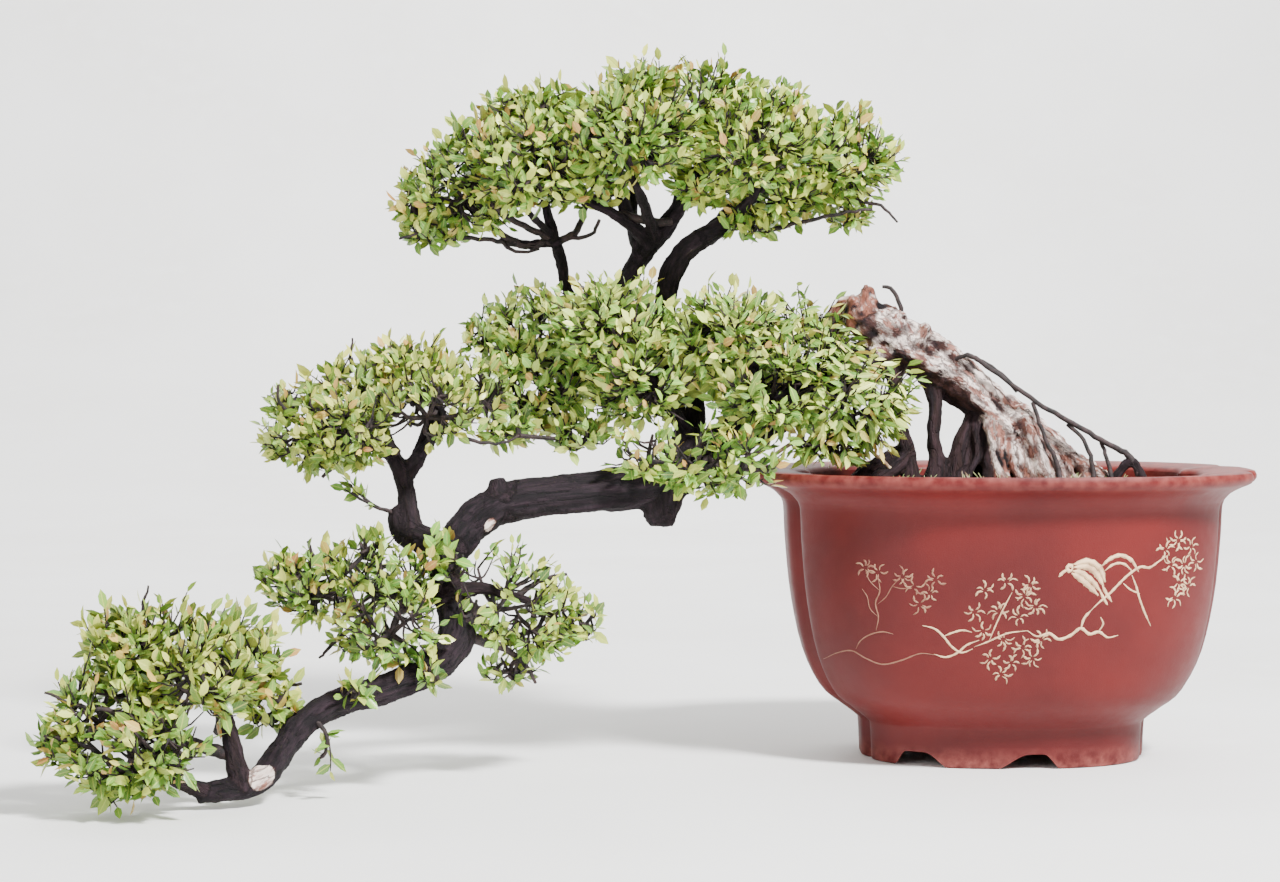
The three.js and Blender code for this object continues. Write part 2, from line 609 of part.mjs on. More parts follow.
const finish = (color, roughness) => new THREE.MeshStandardMaterial({ color, roughness, metalness: 0 });
const CLAY = finish(0xa2463c, 0.5);
const SOIL = finish(0x3a2c22, 0.95);
const NET = finish(0x20242a, 0.6);
const BARK = finish(0x4a3830, 0.85);
const LEAF = finish(0x6f9a45, 0.5);
const YOUNG_LEAF = finish(0x9db45a, 0.5);

// Assembly

const plant = new THREE.Group();

function addPiece(name, geometry, material) {
  const mesh = new THREE.Mesh(geometry, material);
  mesh.name = name;
  plant.add(mesh);
}

const wood = woodSolid(0);
const woodWithGap = woodSolid(GAP);

addPiece("pot", geometryFrom(potSolid()), CLAY);
addPiece("drainage_net", geometryFrom(drainNetSolid()), NET);
addPiece("soil", geometryFrom(soilSolid(woodWithGap)), SOIL);
addPiece("wood", geometryFrom(wood), BARK);

const YOUNG_HEADS = new Set(["tip_upper", "left"]);
Object.entries(HEADS).forEach(([name, { lobes, cell }], i) => {
  const head = headSolid(lobes, cell, 700 + i).subtract(woodWithGap);
  const material = YOUNG_HEADS.has(name) ? YOUNG_LEAF : LEAF;
  addPiece("foliage_" + name, geometryFrom(largestBody(head)), material);
});
Object.entries(SPRIGS).forEach(([name, points], i) => {
  const sprig = largestBody(sprigSolid(points, 900 + i).subtract(woodWithGap));
  addPiece(name, geometryFrom(sprig), LEAF);
});

// The origin goes to the bottom centre of the whole plant, on the surface that the pot stands on.
plant.updateMatrixWorld(true);
const extent = new THREE.Box3().setFromObject(plant, true);
plant.position.set(-(extent.min.x + extent.max.x) / 2, -(extent.min.y + extent.max.y) / 2, 0);

export default plant;
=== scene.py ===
"""A sweet plum bonsai in the semi-cascade style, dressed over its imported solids.

Small glossy leaves on fine twigs, flaking bark, rough soil with moss, and a red-clay pot with a
bird-and-blossom picture in pale slip. The tables are in millimetres from the pot's own axis, on the
surface that the pot stands on; ``in_frame`` turns them into metres in the part's frame.
"""

import logging
import math
import random
from dataclasses import dataclass, field
from enum import Enum
from typing import NamedTuple

import bmesh
import bpy
import numpy as np
from bpy.types import Material, Node, NodeSocket, NodeTree, Object
from mathutils import Matrix, Vector, kdtree, noise
from mathutils.bvhtree import BVHTree


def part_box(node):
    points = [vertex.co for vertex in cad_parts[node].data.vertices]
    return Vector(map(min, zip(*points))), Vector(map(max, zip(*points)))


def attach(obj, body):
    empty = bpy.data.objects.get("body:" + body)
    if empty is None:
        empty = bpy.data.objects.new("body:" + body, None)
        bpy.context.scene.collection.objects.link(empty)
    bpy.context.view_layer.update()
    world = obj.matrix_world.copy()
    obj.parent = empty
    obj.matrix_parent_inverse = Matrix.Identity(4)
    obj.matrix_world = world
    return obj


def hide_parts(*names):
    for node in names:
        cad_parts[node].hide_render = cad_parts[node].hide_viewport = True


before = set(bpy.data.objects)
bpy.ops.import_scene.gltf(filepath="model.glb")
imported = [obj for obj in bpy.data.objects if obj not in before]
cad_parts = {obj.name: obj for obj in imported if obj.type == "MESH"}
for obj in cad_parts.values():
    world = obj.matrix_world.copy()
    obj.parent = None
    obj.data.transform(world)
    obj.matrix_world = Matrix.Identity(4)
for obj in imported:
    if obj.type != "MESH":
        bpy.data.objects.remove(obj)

LOG = logging.getLogger("bonsai")
MM = 0.001
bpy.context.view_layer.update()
POT_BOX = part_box("pot")
AXIS = np.array([(POT_BOX[0][0] + POT_BOX[1][0]) / 2, (POT_BOX[0][1] + POT_BOX[1][1]) / 2, 0.0])
BODY = "root"
UP = np.array([0.0, 0.0, 1.0])
GROUND = 136

# The photograph's viewing angle, and the width that the frame shows at the pot

EYE = (-198.6, -1600.0, 229.0)
TARGET = (-198.6, 0.0, 172.35)
FRAME_WIDTH_MM = 704.0

Point = tuple[float, float, float]
Colour = tuple[float, float, float, float]
Rows = tuple[tuple[float, ...], ...]
Table = dict[str, Rows]
Strokes = tuple[tuple[float, Rows], ...]
Pattern = tuple[np.ndarray, np.ndarray, np.ndarray, np.ndarray]


def in_frame(points: np.ndarray) -> np.ndarray:
    """Turns millimetres from the pot's axis into metres in the part's frame."""
    return np.asarray(points, dtype=float) * MM + AXIS


def srgb(red: int, green: int, blue: int) -> Colour:
    """Turns an 8-bit display colour into Blender's linear colour.

    Args:
        red, green, blue: the channels, 0 to 255.

    Returns:
        The linear colour with full alpha.
    """
    shares = [value / 255 for value in (red, green, blue)]
    return (*(s / 12.92 if s <= 0.04045 else ((s + 0.055) / 1.055) ** 2.4 for s in shares), 1.0)


# The tree's skeleton, stations of x, y, z and radius

TRUNK: Table = {
    "log": ((66, 5, 134, 11), (45, 3, 151, 12), (26, 2, 164.5, 12.5), (5, 0, 181, 12.8), (-17, 0, 199.5, 13.2),
        (-34, 0, 213, 14.5), (-49, 0, 223, 14.5), (-64, -2, 232, 14), (-76, -4, 240, 12), (-85, -5, 244, 8.5)),
}

LEGS: Table = {
    "leg_outer": ((-60, -6, 219, 5), (-58, -10, 189, 3.8), (-52, -14, 163, 4.4), (-50, -16, 136, 6.5)),
    "leg_toe": ((-50, -13, 168, 3.6), (-60, -17, 158, 4.6), (-70, -20, 150, 5.4), (-78, -22, 137, 6)),
    "leg_toe_back": ((-50, -8, 172, 3.2), (-66, -10, 162, 3.8), (-80, -12, 152, 4.4), (-88, -13, 137, 5)),
    "leg_front": ((-40, -3, 209, 6.5), (-37, -8, 193, 4.2), (-38.5, -12, 176, 3.8), (-37, -14, 160, 5.2),
        (-41, -17, 136, 8.5)),
    "leg_middle": ((-20, 2, 200, 7.5), (-16, 5, 189, 4.4), (-14, 8, 173, 4.8), (-10, 13, 136, 9)),
    "leg_inner": ((-7, -5, 194, 8), (-5, -12, 179, 5), (-6, -24, 136, 9)),
    "leg_back": ((-8, 6, 196, 8), (-6, 24, 176, 6), (-8, 40, 134, 9)),
    "leg_mass": ((-15, -3, 188, 3.4), (-21, -6, 177, 4), (-25, -9, 166, 5), (-27, -11, 152, 6.4),
        (-28, -13, 136, 8)),
    "heart": ((-12, 1, 180, 6), (-14, 2, 163, 9), (-14, 2, 136, 12)),
}

ROOTS: Table = {
    "root_front": ((8, -4, 187, 9), (16, -16, 171, 7), (27, -34, 138, 8.5)),
    "root_back": ((8, 6, 187, 9), (15, 20, 171, 8), (26, 38, 137, 8)),
    "root_right": ((30, -4, 166, 7), (48, -14, 155, 5.5), (73, -30, 138, 5)),
    "root_right_back": ((28, 6, 167, 7), (48, 18, 154, 5.5), (69, 36, 138, 5)),
}

FINE_ROOTS: Table = {
    "over_root_foot": ((56, -21, 146, 3), (62, -22, 157, 2.7), (68, -24, 162, 2.6), (73, -26, 154, 2.7),
        (79, -27, 139, 3.4)),
}

LIMB: Table = {
    "limb": ((-52, 0, 227, 12), (-96, -12, 204, 11.5), (-142, -24, 179, 11.5), (-164, -30, 166, 12),
        (-181, -36, 154.5, 12.5), (-196, -42, 149, 11.8), (-220, -50, 146.5, 11.4), (-265, -69, 142.5, 11.2),
        (-283, -78, 134.5, 10.4), (-294, -87, 122.5, 9.5), (-299, -96, 108, 8.8), (-294, -105, 91, 9),
        (-293, -116, 75, 9.6), (-304, -126, 62, 8.8), (-326, -138, 53, 7.8), (-349, -150, 47.5, 7),
        (-366, -162, 38, 6.8), (-375, -172, 25.5, 7), (-384, -182, 13.5, 7), (-396, -189, 9.5, 6.2),
        (-413, -195, 8, 5)),
}

STUBS: Table = {
    "knob_under": ((-186, -38, 150, 12), (-187, -40, 138, 11), (-187, -41, 128, 6.5)),
    "knob_over": ((-272, -72, 139, 8), (-273, -72, 149, 6), (-274, -72, 155, 4)),
    "left_arm": ((-296, -90, 119.5, 8), (-312, -87, 124.5, 7.5), (-322, -84, 129.5, 7),
        (-326, -81, 140.5, 4.6)),
}

STEMS: Table = {
    "riser": ((-179, -35, 156, 9), (-174, -22, 171, 8.5), (-171, -8, 187, 8), (-175, 4, 206, 7.5),
        (-182, 10, 225, 7)),
    "right": ((-178, 6, 210, 6.5), (-183, 10, 231, 6.5), (-185, 8, 243, 6.2), (-183, 5, 259, 6.2),
        (-176, 3, 275, 6.2), (-164, 2, 284, 5.8), (-146, 2, 293, 4.8), (-123, 4, 302, 3.8), (-88, 3, 321, 2.4)),
    "middle": ((-177, 5, 209, 6), (-193, 14, 229, 5.6), (-209, 16, 247, 5.4), (-206, 15, 260, 5.6),
        (-196, 12, 277, 5.6), (-184, 8, 291, 5.4), (-176, 4, 308, 4), (-180, 1, 353, 2.4)),
    "left": ((-188, 12, 223, 5), (-214, 24, 233, 4.2), (-234, 26, 247, 3.6), (-240, 22, 259, 3.2),
        (-243, 16, 275, 3.4), (-247, 12, 287, 3.4), (-251, 8, 305, 2.6), (-256, 1, 341, 2)),
    "left_pad": ((-317, -86, 125.5, 6.6), (-320, -81, 141.5, 5.4), (-323, -75, 156, 5), (-330, -72, 170, 4.4),
        (-338, -70, 185, 3.4), (-351, -76, 199, 2.2)),
}

BRANCHES: Table = {
    "right_back": ((-164, 2, 284, 4), (-148, 20, 301, 3.4), (-132, 30, 327, 2)),
    "right_front": ((-150, 2, 292, 3.6), (-138, -20, 305, 3), (-133, -30, 317, 2)),
    "middle_left": ((-193, 11, 281, 4.6), (-206, 7, 297, 4), (-214, 5, 339, 2.2)),
    "middle_back": ((-199, 12, 273, 4), (-203, 32, 299, 3.2), (-200, 42, 329, 2)),
    "middle_front": ((-190, 10, 284, 4), (-197, -20, 303, 3), (-204, -36, 317, 2)),
    "left_out": ((-245, 13, 282, 2.8), (-268, 8, 282, 2.4), (-298, 2, 305, 1.8)),
    "left_low": ((-247, 12, 285, 2.6), (-259, -12, 297, 2), (-267, -28, 307, 1.6)),
    "left_pad_inner": ((-323, -75, 154, 4.4), (-314, -69, 169, 4), (-304, -56, 205, 2.4)),
    "left_pad_far": ((-329, -72, 167, 3.2), (-345, -84, 175.5, 2.6), (-369, -93, 183.5, 1.8)),
    "lower_left": ((-298, -99, 100, 5), (-313, -104, 97.5, 4), (-338, -117, 100.5, 2.6)),
    "lower_right": ((-296, -105, 95.5, 4.4), (-283, -99, 100, 3.6), (-256, -82, 91.5, 2)),
    "end_riser": ((-393, -189, 12.5, 5.2), (-398, -182, 28.5, 4.6), (-408, -174, 69.5, 2.4)),
    "end_tip": ((-411, -195, 9.5, 4.4), (-426, -206, 18.5, 3.2), (-447, -214, 36, 2)),
    "crown_fork_left": ((-193, 11, 280, 3.6), (-203, 3, 290, 3.2), (-217, -3, 299, 2.8), (-232, -5, 304, 2.3),
        (-247, -4, 309, 1.8)),
    "crown_fork_right": ((-186, 8, 288, 3.2), (-177, 2, 298, 2.9), (-169, -4, 311, 2.4), (-162, -8, 326, 1.8)),
    "left_fork_arc": ((-315, -70, 166, 3.2), (-306, -76, 179, 2.8), (-302, -82, 191, 2.5),
        (-308, -86, 198, 2.1), (-318, -88, 194, 1.7)),
    "crown_back": ((-184, 11, 227, 5), (-196, 22, 225, 4), (-204, 30, 223, 2.6)),
    "crown_front": ((-171, -20, 174, 5), (-183, -34, 192, 4.2), (-193, -40, 209, 3)),
    "crown_right": ((-142, -24, 179, 6), (-136, -30, 197, 5), (-137, -22, 223, 3)),
    "crown_left": ((-181, -2, 196, 5), (-208, 6, 203, 4), (-242, 10, 213, 2.8)),
    "crown_end": ((-100, -13, 202, 6), (-94, -24, 203, 5), (-82, -38, 199, 3)),
    "crown_low": ((-164, -34, 169, 5), (-164, -46, 170, 4), (-163, -57, 166, 3)),
}

# Fine wood that is too thin for the solids: dead twigs, over-roots and the twigs that carry leaves

FINE_WOOD: Table = {
    "over_root": ((-30, -8, 216, 1.2), (-18, -13, 219, 1.3), (0, -16, 206, 1.3), (20, -18, 192, 1.4),
        (40, -19, 181, 1.5), (56, -22, 171, 1.6), (67, -24, 164, 1.9), (72, -26, 152, 2.2)),
    "over_root_branch": ((15, -17, 194, 1.2), (19, -22, 180, 1.1), (25, -28, 165, 1.3), (29, -33, 149, 1.8)),
    "over_root_twig_a": ((34, -17, 182, 1.2), (42, -22, 174, 1.1), (46, -26, 162, 1.3), (47, -30, 151, 1.4)),
    "over_root_twig_b": ((52, -18, 174, 1.2), (54, -22, 166, 1.1), (57, -26, 151, 1.4)),
    "dead_twig_right": ((-20, -8, 220, 1.3), (-10, -10, 215, 1.2), (-1, -12, 209, 1.2), (7, -14, 200, 1.4)),
    "stem_a_left": ((-245, 13, 282, 2.6), (-263, 8, 280, 2), (-276, 2, 287, 1.8), (-292, -2, 302, 1.6)),
    "crown_low_left": ((-264, 8, 280, 1.6), (-283, 2, 283, 1.3), (-302, -4, 284, 1.1), (-315, -8, 287, 0.9),
        (-330, -10, 283, 0.7)),
    "crown_low_left_b": ((-276, 4, 283, 1.3), (-267, 2, 276, 1.0), (-254, 4, 278, 0.8)),
    "stem_a_low": ((-247, 12, 284, 2.2), (-264, -4, 291, 1.8), (-279, -22, 301, 1.4)),
    "stem_a_right": ((-246, 14, 281, 2.4), (-234, 20, 288, 2), (-229, 30, 302, 1.6)),
    "stem_a_arc": ((-240, 18, 284, 1.4), (-226, 14, 286, 1.1), (-221, 8, 294, 1)),
    "crown_right_low": ((-133, 2, 287, 1.5), (-111, -8, 292, 1.2), (-89, -12, 297, 1), (-72, -10, 299, 0.8)),
    "crown_right_end": ((-84, -6, 305, 1.1), (-67, -8, 301, 0.9), (-58, -8, 292, 0.6)),
    "stem_mid_link": ((-209, 4, 298, 2.2), (-196, 2, 293, 2.4), (-181, 3, 293, 2.4)),
    "left_fork_far": ((-326, -76, 169, 2.6), (-332, -86, 180, 2), (-333, -92, 191, 1.4), (-341, -97, 199, 0.9)),
    "left_stem_twig": ((-305, -63, 179, 2.4), (-293, -58, 182, 1.8), (-282, -54, 191, 1.4)),
    "left_right_low": ((-301, -60, 181, 1.4), (-289, -58, 175, 1.1), (-273, -54, 173, 0.8),
        (-263, -50, 177, 0.6)),
    "left_low_twig": ((-339, -81, 180, 1.5), (-352, -90, 168, 1.2), (-363, -96, 157, 0.9)),
    "left_up_twig": ((-349, -84, 211, 1.2), (-349, -87, 222, 0.7), (-348, -87, 229, 0.5)),
    "left_far_twig": ((-373, -108, 187, 1.3), (-382, -114, 195, 0.9), (-383, -117, 205, 0.6)),
    "sprig_arm_twig": ((-328, -84, 138, 1.1), (-336, -87, 141, 0.9), (-343, -90, 145, 0.7),
        (-348, -93, 149, 0.5)),
    "lower_low_branch": ((-297, -114, 80, 4), (-282, -105, 74, 3), (-268, -96, 68, 2)),
    "lower_low_end": ((-268, -96, 68, 1.8), (-258, -90, 59, 1.3), (-253, -87, 49, 0.8)),
    "lower_front_branch": ((-299, -99, 104, 3), (-310, -118, 96, 2.4), (-321, -132, 90, 1.6)),
    "lower_right_far": ((-248, -78, 86, 1.8), (-238, -75, 79, 1.2), (-226, -72, 72, 0.7)),
    "lower_right_up": ((-265, -87, 93, 2), (-251, -81, 102, 1.4), (-237, -75, 105, 0.8)),
    "lower_left_up": ((-352, -108, 106, 1.6), (-364, -111, 115, 1.1), (-369, -112, 125, 0.6)),
    "lower_left_far": ((-368, -111, 109, 1.6), (-380, -114, 106, 1.1), (-391, -117, 106, 0.7)),
    "lower_left_low": ((-330, -102, 98, 2.4), (-342, -114, 85, 1.6), (-356, -120, 72, 1),
        (-362, -123, 66, 0.6)),
    "end_riser_left": ((-400, -180, 25, 3.6), (-413, -192, 31, 3), (-428, -207, 41, 2.4),
        (-446, -216, 50, 1.8)),
    "end_riser_right": ((-405, -177, 35, 3.4), (-404, -162, 50, 2.8), (-398, -150, 66, 2)),
    "end_right_low": ((-397, -156, 54, 2), (-381, -150, 54, 1.3), (-368, -147, 56, 0.8)),
    "end_far_twig": ((-446, -216, 50, 1.6), (-464, -222, 54, 1.1), (-481, -225, 61, 0.6)),
    "end_tip_twig": ((-450, -219, 26, 1.6), (-464, -222, 36, 1.1), (-482, -222, 40, 0.7)),
    "end_low_twig": ((-437, -212, 20, 1.5), (-447, -213, 11, 1.1), (-457, -213, 2, 0.7)),
    "end_up_twig": ((-440, -168, 75, 1.4), (-444, -168, 93, 1), (-441, -168, 107, 0.5)),
    "under_limb": ((-361, -162, 41, 1.3), (-354, -165, 33, 1.1), (-354, -165, 25, 0.8), (-357, -165, 21, 0.6)),
    "stump_loop": ((-66, -7, 257, 0.9), (-63, -7, 257, 1.1), (-59, -6, 253, 1.2), (-56, -5, 246, 1.3),
        (-55, -3, 233, 1.5)),
    "pot_twig_a": ((-61, -20, 157, 1), (-75, -22, 169, 1.1), (-90, -24, 179, 1.2)),
    "pot_twig_b": ((-113, -36, 174, 1.2), (-129, -40, 165, 1), (-132, -42, 158, 0.8)),
}

STUMP: Table = {
    "rim": ((-92, 2, 232, 4), (-91, 4, 242, 4), (-87, 2, 248.5, 3.4), (-81, -2, 250, 3)),
    "scar": ((-80, -4, 239, 8), (-83, -8, 247, 4), (-82, -10, 251, 2.6)),
    "knob": ((-72, -2, 238, 6.5), (-73, 0, 250, 4.4), (-72, 0, 257, 2.8)),
    "splinter": ((-76, -7, 242, 4), (-76, -9, 253, 2.4), (-75, -9, 258, 1.4)),
}

# Hollows on the trunk's front, pushed in and darkened with painted shade: place along X and Z, reach, and how
# drawn out along the roots

HOLLOWS: Rows = (
    (-91, 244, 5.5, 0), (-66, 248, 4.4, 0), (-78, 242, 3.4, 0), (-72, 232, 4, 0), (-55, 222, 3, 0),
    (-3, 163, 3.6, 1), (6, 178, 3.2, 1), (9, 158, 3.4, 1), (21, 170, 2.8, 1), (33, 161, 3.6, 1),
    (46, 158, 3.2, 1),
)

SCARS: Rows = ((-383, -188, 15, 7.5), (-277, -86, 131, 4.2))

CORDS: Table = {
    "cord_top": ((-66, -3, 242, 4), (-44, -7, 231, 4.5), (-20, -5, 213, 4), (6, -7, 189, 3.6),
        (34, -7, 168, 3.2)),
    "cord_front": ((-72, -11, 235, 4), (-50, -12, 218, 4.5), (-24, -11, 203, 4), (0, -12, 181, 4),
        (22, -12, 163, 3.6)),
    "wart_b": ((-46, -8, 228, 4), (-41, -10, 236, 3)),
    "wart_c": ((-58, -6, 236, 5), (-56, -8, 243, 4)),
}

# Heads of foliage: lobes of x, y, z and the reach to the leaf tips along X, Y and Z

LOBES: Table = {
    "crown": ((-294, 0, 312, 39, 40, 30), (-262, 28, 334, 42, 38, 30), (-256, -26, 324, 42, 38, 30),
        (-212, 32, 346, 44, 42, 30), (-204, -30, 338, 44, 40, 29), (-172, 10, 355, 42, 44, 28),
        (-134, 34, 340, 42, 38, 30), (-138, -28, 330, 42, 38, 30), (-95, 0, 327, 44, 42, 31),
        (-122, 0, 311, 36, 36, 24)),
    "middle": ((-255, 6, 231, 34, 38, 28), (-252, -4, 204, 37, 36, 30), (-230, 2, 222, 38, 36, 30),
        (-218, 26, 218, 40, 38, 30), (-212, -30, 236, 42, 36, 30), (-196, -32, 206, 38, 34, 30),
        (-150, -28, 227, 42, 38, 29), (-150, 30, 222, 42, 38, 30), (-110, -4, 222, 40, 40, 30),
        (-128, -42, 202, 38, 32, 28), (-108, -28, 211, 36, 36, 29), (-84, -42, 195, 36, 34, 29)),
    "middle_low": ((-194, -60, 168, 27, 26, 20), (-170, -65, 166, 30, 27, 22), (-145, -61, 164, 27, 25, 20)),
    "left": ((-370, -97, 180, 29, 30, 25), (-350, -78, 194, 34, 31, 28), (-346, -112, 182, 31, 28, 22),
        (-316, -62, 203, 36, 31, 28), (-309, -92, 195, 31, 30, 27)),
    "lower_left": ((-361, -110, 103, 31, 30, 22), (-333, -112, 105, 36, 33, 27), (-324, -136, 86, 30, 27, 25)),
    "lower_right": ((-273, -97, 96, 36, 31, 30), (-254, -86, 83, 29, 30, 25)),
    "tip_upper": ((-431, -188, 75, 34, 35, 28), (-402, -166, 69, 32, 33, 27), (-410, -202, 64, 30, 29, 26)),
    "tip_lower": ((-457, -208, 50, 29, 31, 26), (-446, -214, 28, 34, 31, 23), (-426, -226, 38, 27, 26, 23)),
}

# Loose tufts that fill out the heads where they join or thin out, in the same terms

TUFTS: Table = {
    "crown": ((-231, 0, 309, 26, 20, 9), (-166, 0, 311, 16, 20, 13), (-84, 0, 298, 13, 14, 10),
        (-311, 0, 287, 21, 18, 8), (-288, -6, 340, 16, 14, 9), (-250, -4, 357, 24, 16, 9),
        (-200, -6, 369, 24, 18, 9), (-128, 0, 360, 22, 18, 9), (-262, -4, 354, 25, 16, 11),
        (-322, -2, 305, 13, 16, 18), (-138, -6, 293, 16, 16, 9), (-163, -12, 315, 22, 18, 14),
        (-214, -10, 318, 16, 16, 12)),
    "middle": ((-284, 0, 231, 12, 16, 12), (-231, -25, 177, 18, 20, 12), (-98, -47, 173, 24, 16, 12),
        (-268, -20, 196, 17, 20, 22), (-272, -28, 181, 18, 18, 9)),
    "left": ((-280, -56, 199, 15, 18, 20), (-322, -72, 217, 24, 18, 10), (-381, -100, 196, 10, 12, 10)),
    "lower_left": ((-383, -112, 109, 12, 12, 8), (-338, -118, 75, 20, 16, 9), (-338, -108, 122, 9, 10, 9),
        (-303, -106, 124, 7, 8, 7), (-338, -160, 56, 10, 6, 6), (-303, -142, 61, 8, 6, 6)),
    "lower_right": ((-266, -90, 58, 17, 16, 9), (-229, -76, 80, 12, 14, 12), (-293, -114, 113, 11, 8, 13),
        (-284, -118, 90, 14, 9, 10)),
    "tip_upper": ((-381, -158, 45, 15, 14, 12), (-453, -196, 86, 17, 18, 12)),
    "tip_lower": ((-477, -214, 35, 12, 12, 12),),
}

# Gaps in the foliage that let the wood or the light show: middle and reach along X and Z as seen from
# the front at the pot's own distance, and the share of leaves that stay

OPENINGS: Rows = (
    (-325, 178, 12, 14, 0.06), (-286, 190, 19, 12, 0.75), (-307, 190, 9, 10, 0.3), (-194, 173, 6.5, 8.5, 0.12),
    (-175, 176, 10, 14, 0.5), (-300, 86, 12, 13, 0.35), (-221, 164, 14, 8, 0.25), (-442, 17, 8.5, 10, 0.05),
    (-441, -8, 9, 7, 0.1), (-500, 5, 8, 4.5, 0.1), (-481, -1, 9, 4.5, 0.1), (-268, 78, 10, 5, 0.1),
    (-287, 101, 6, 7, 0.2), (-262, 92, 7, 5, 0.2), (-330, 72, 9, 5, 0.2), (-352, 86, 6, 5, 0.2),
    (-452, 34, 6, 8, 0.3), (-326, 121, 13, 8, 0.08), (-337, 69, 29, 13, 0.62), (-371, 84, 12, 5, 0.3),
    (-232, 297, 20, 6, 0.25), (-199, 303, 9, 8, 0.2), (-178, 301, 5, 5, 0.3),
)

# The picture on the pot's front: strokes of width and places along X and Z

PALE_HILLS: Strokes = (
    (0.8, ((-100, 56.7), (-93.7, 61.3), (-86.5, 63.4), (-79.2, 59.8), (-70.9, 57.2), (-61.6, 59.8),
        (-52.2, 63.9), (-43.9, 63.4))),
    (0.7, ((-84.4, 64.5), (-82.3, 69.1), (-77.7, 72.8), (-71.4, 74.8), (-65.7, 73.8))),
    (0.8, ((-74.5, 75.4), (-73.5, 82.6), (-75.1, 89.9), (-73, 96.6), (-74, 103.9))),
    (0.5, ((-74, 89.4), (-69.9, 93.5), (-66.8, 99.2), (-63.1, 103.4))),
    (0.5, ((-73.5, 82.6), (-77.7, 86.8), (-79.2, 93), (-81.8, 97.2))),
    (0.5, ((-66.8, 99.2), (-61, 98.2), (-55.9, 100.3))),
    (0.5, ((-73, 96.6), (-78.2, 101.8), (-80.3, 107.5))),
)

BRANCHWORK: Strokes = (
    (1.2, ((-51.2, 79), (-45, 77.4), (-40.3, 73.3), (-36.1, 68.1), (-30.9, 65), (-25.2, 67.1))),
    (1, ((-40.8, 73.3), (-36.1, 75.4), (-30.9, 76.9), (-25.8, 75.9))),
    (1.1, ((-45, 63.9), (-39.2, 62.4), (-33.5, 64.5), (-28.3, 69.1), (-22.1, 71.7))),
    (1.6, ((2.8, 76.9), (8, 73.8), (14.2, 75.4), (19.4, 72.2), (25.6, 74.3), (30.8, 78), (35.5, 74.8),
        (40.7, 75.9), (45.4, 72.8), (51.1, 73.8))),
    (1.4, ((30.8, 77.4), (32.4, 83.1), (36, 87.3))),
    (1, ((40.2, 75.9), (42.8, 80), (41.2, 83.7))),
    (1.4, ((35.5, 86.8), (40.2, 91.4), (45.9, 96.1), (51.1, 101.3), (56.3, 106), (62.5, 109.6), (67.7, 109.1),
        (72.9, 112.2), (77.5, 114.8))),
    (1.2, ((57.8, 105.5), (60.4, 99.2), (62.5, 92.5), (65.6, 85.2), (69.2, 78))),
    (0.9, ((53.1, 101.3), (57.3, 97.7), (62.5, 95.6))),
    (0.8, ((-24.7, 68.1), (-16.9, 71.2), (-7.6, 75.4), (2.8, 76.9))),
    (0.8, ((-16.9, 71.2), (-13.8, 79.5), (-9.7, 88.9), (-5.5, 97.2))),
)

BIRD: Strokes = (
    (2.2, ((25.8, 109.6), (25.4, 108.5), (24.3, 108.1), (23.3, 108.5), (22.8, 109.6), (23.3, 110.7),
        (24.3, 111.1), (25.4, 110.7), (25.8, 109.6), (25.4, 108.5))),
    (1.7, ((23.0, 108.8), (20.8, 107.5), (18.6, 105.1))),
    (3.3, ((26.1, 111.5), (33.7, 113.1), (40.1, 109.5), (43.3, 102.1))),
    (3.3, ((26.4, 110.1), (33.1, 110.2), (38.5, 106.6), (42.5, 99.9))),
    (3.0, ((25.9, 108.3), (30.9, 106.9), (36.0, 102.9), (41.1, 97.0))),
    (3.0, ((25.4, 107.1), (29.6, 104.4), (34.4, 100.4), (39.8, 95.1))),
    (1.7, ((41.7, 100.5), (43.9, 96.4), (47.1, 91.6))),
    (1.5, ((40.4, 98.0), (42.3, 94.1), (44.9, 90.0))),
    (2.1, ((40.7, 109.9), (45.5, 114.1), (51.3, 116.0), (57.3, 113.3), (61.5, 107.1))),
    (1.3, ((42.7, 107.9), (47.8, 111.4), (53.2, 111.5), (58.0, 107.5))),
)

BLOSSOMS: Rows = (
    (-19.5, 98.2), (-8.6, 102.9), (0.7, 95.1), (-12.3, 87.3), (-1.9, 84.2), (6.9, 89.4), (-20, 76.4),
    (-9.7, 72.2), (0.7, 68.1), (10.1, 72.2), (-15.9, 61.9), (-5, 59.8), (5.9, 61.9), (-10.2, 53.6),
    (3.8, 100.8), (-24.7, 86.8), (76.5, 118.4), (84.3, 122.6), (92.1, 119), (80.1, 110.1), (87.9, 109.6),
    (95.2, 110.7), (85.3, 100.3), (91, 98.2), (82.7, 92.5),
)

FAINT: Rows = (
    (-55.9, 99.2), (-61.6, 104.4), (-47.6, 96.1), (-52.7, 89.9), (-45, 103.4), (-80.3, 108.6), (-74, 106.5),
)


# Mesh helpers

def catmull(points: np.ndarray, steps: int) -> np.ndarray:
    """Draws a smooth line through points.

    Args:
        points: stations as rows; every column is interpolated, a radius too.
        steps: how many pieces the whole line gets.

    Returns:
        steps + 1 rows.
    """
    points = np.asarray(points, dtype=float)
    padded = np.vstack([2 * points[0] - points[1], points, 2 * points[-1] - points[-2]])
    places = np.linspace(0, len(points) - 1, steps + 1)
    index = np.minimum(places.astype(int), len(points) - 2)
    t = (places - index)[:, None]
    a, b, c, d = (padded[index + k] for k in range(4))
    return 0.5 * (2 * b + (c - a) * t + (2 * a - 5 * b + 4 * c - d) * t**2 + (3 * b - a - 3 * c + d) * t**3)


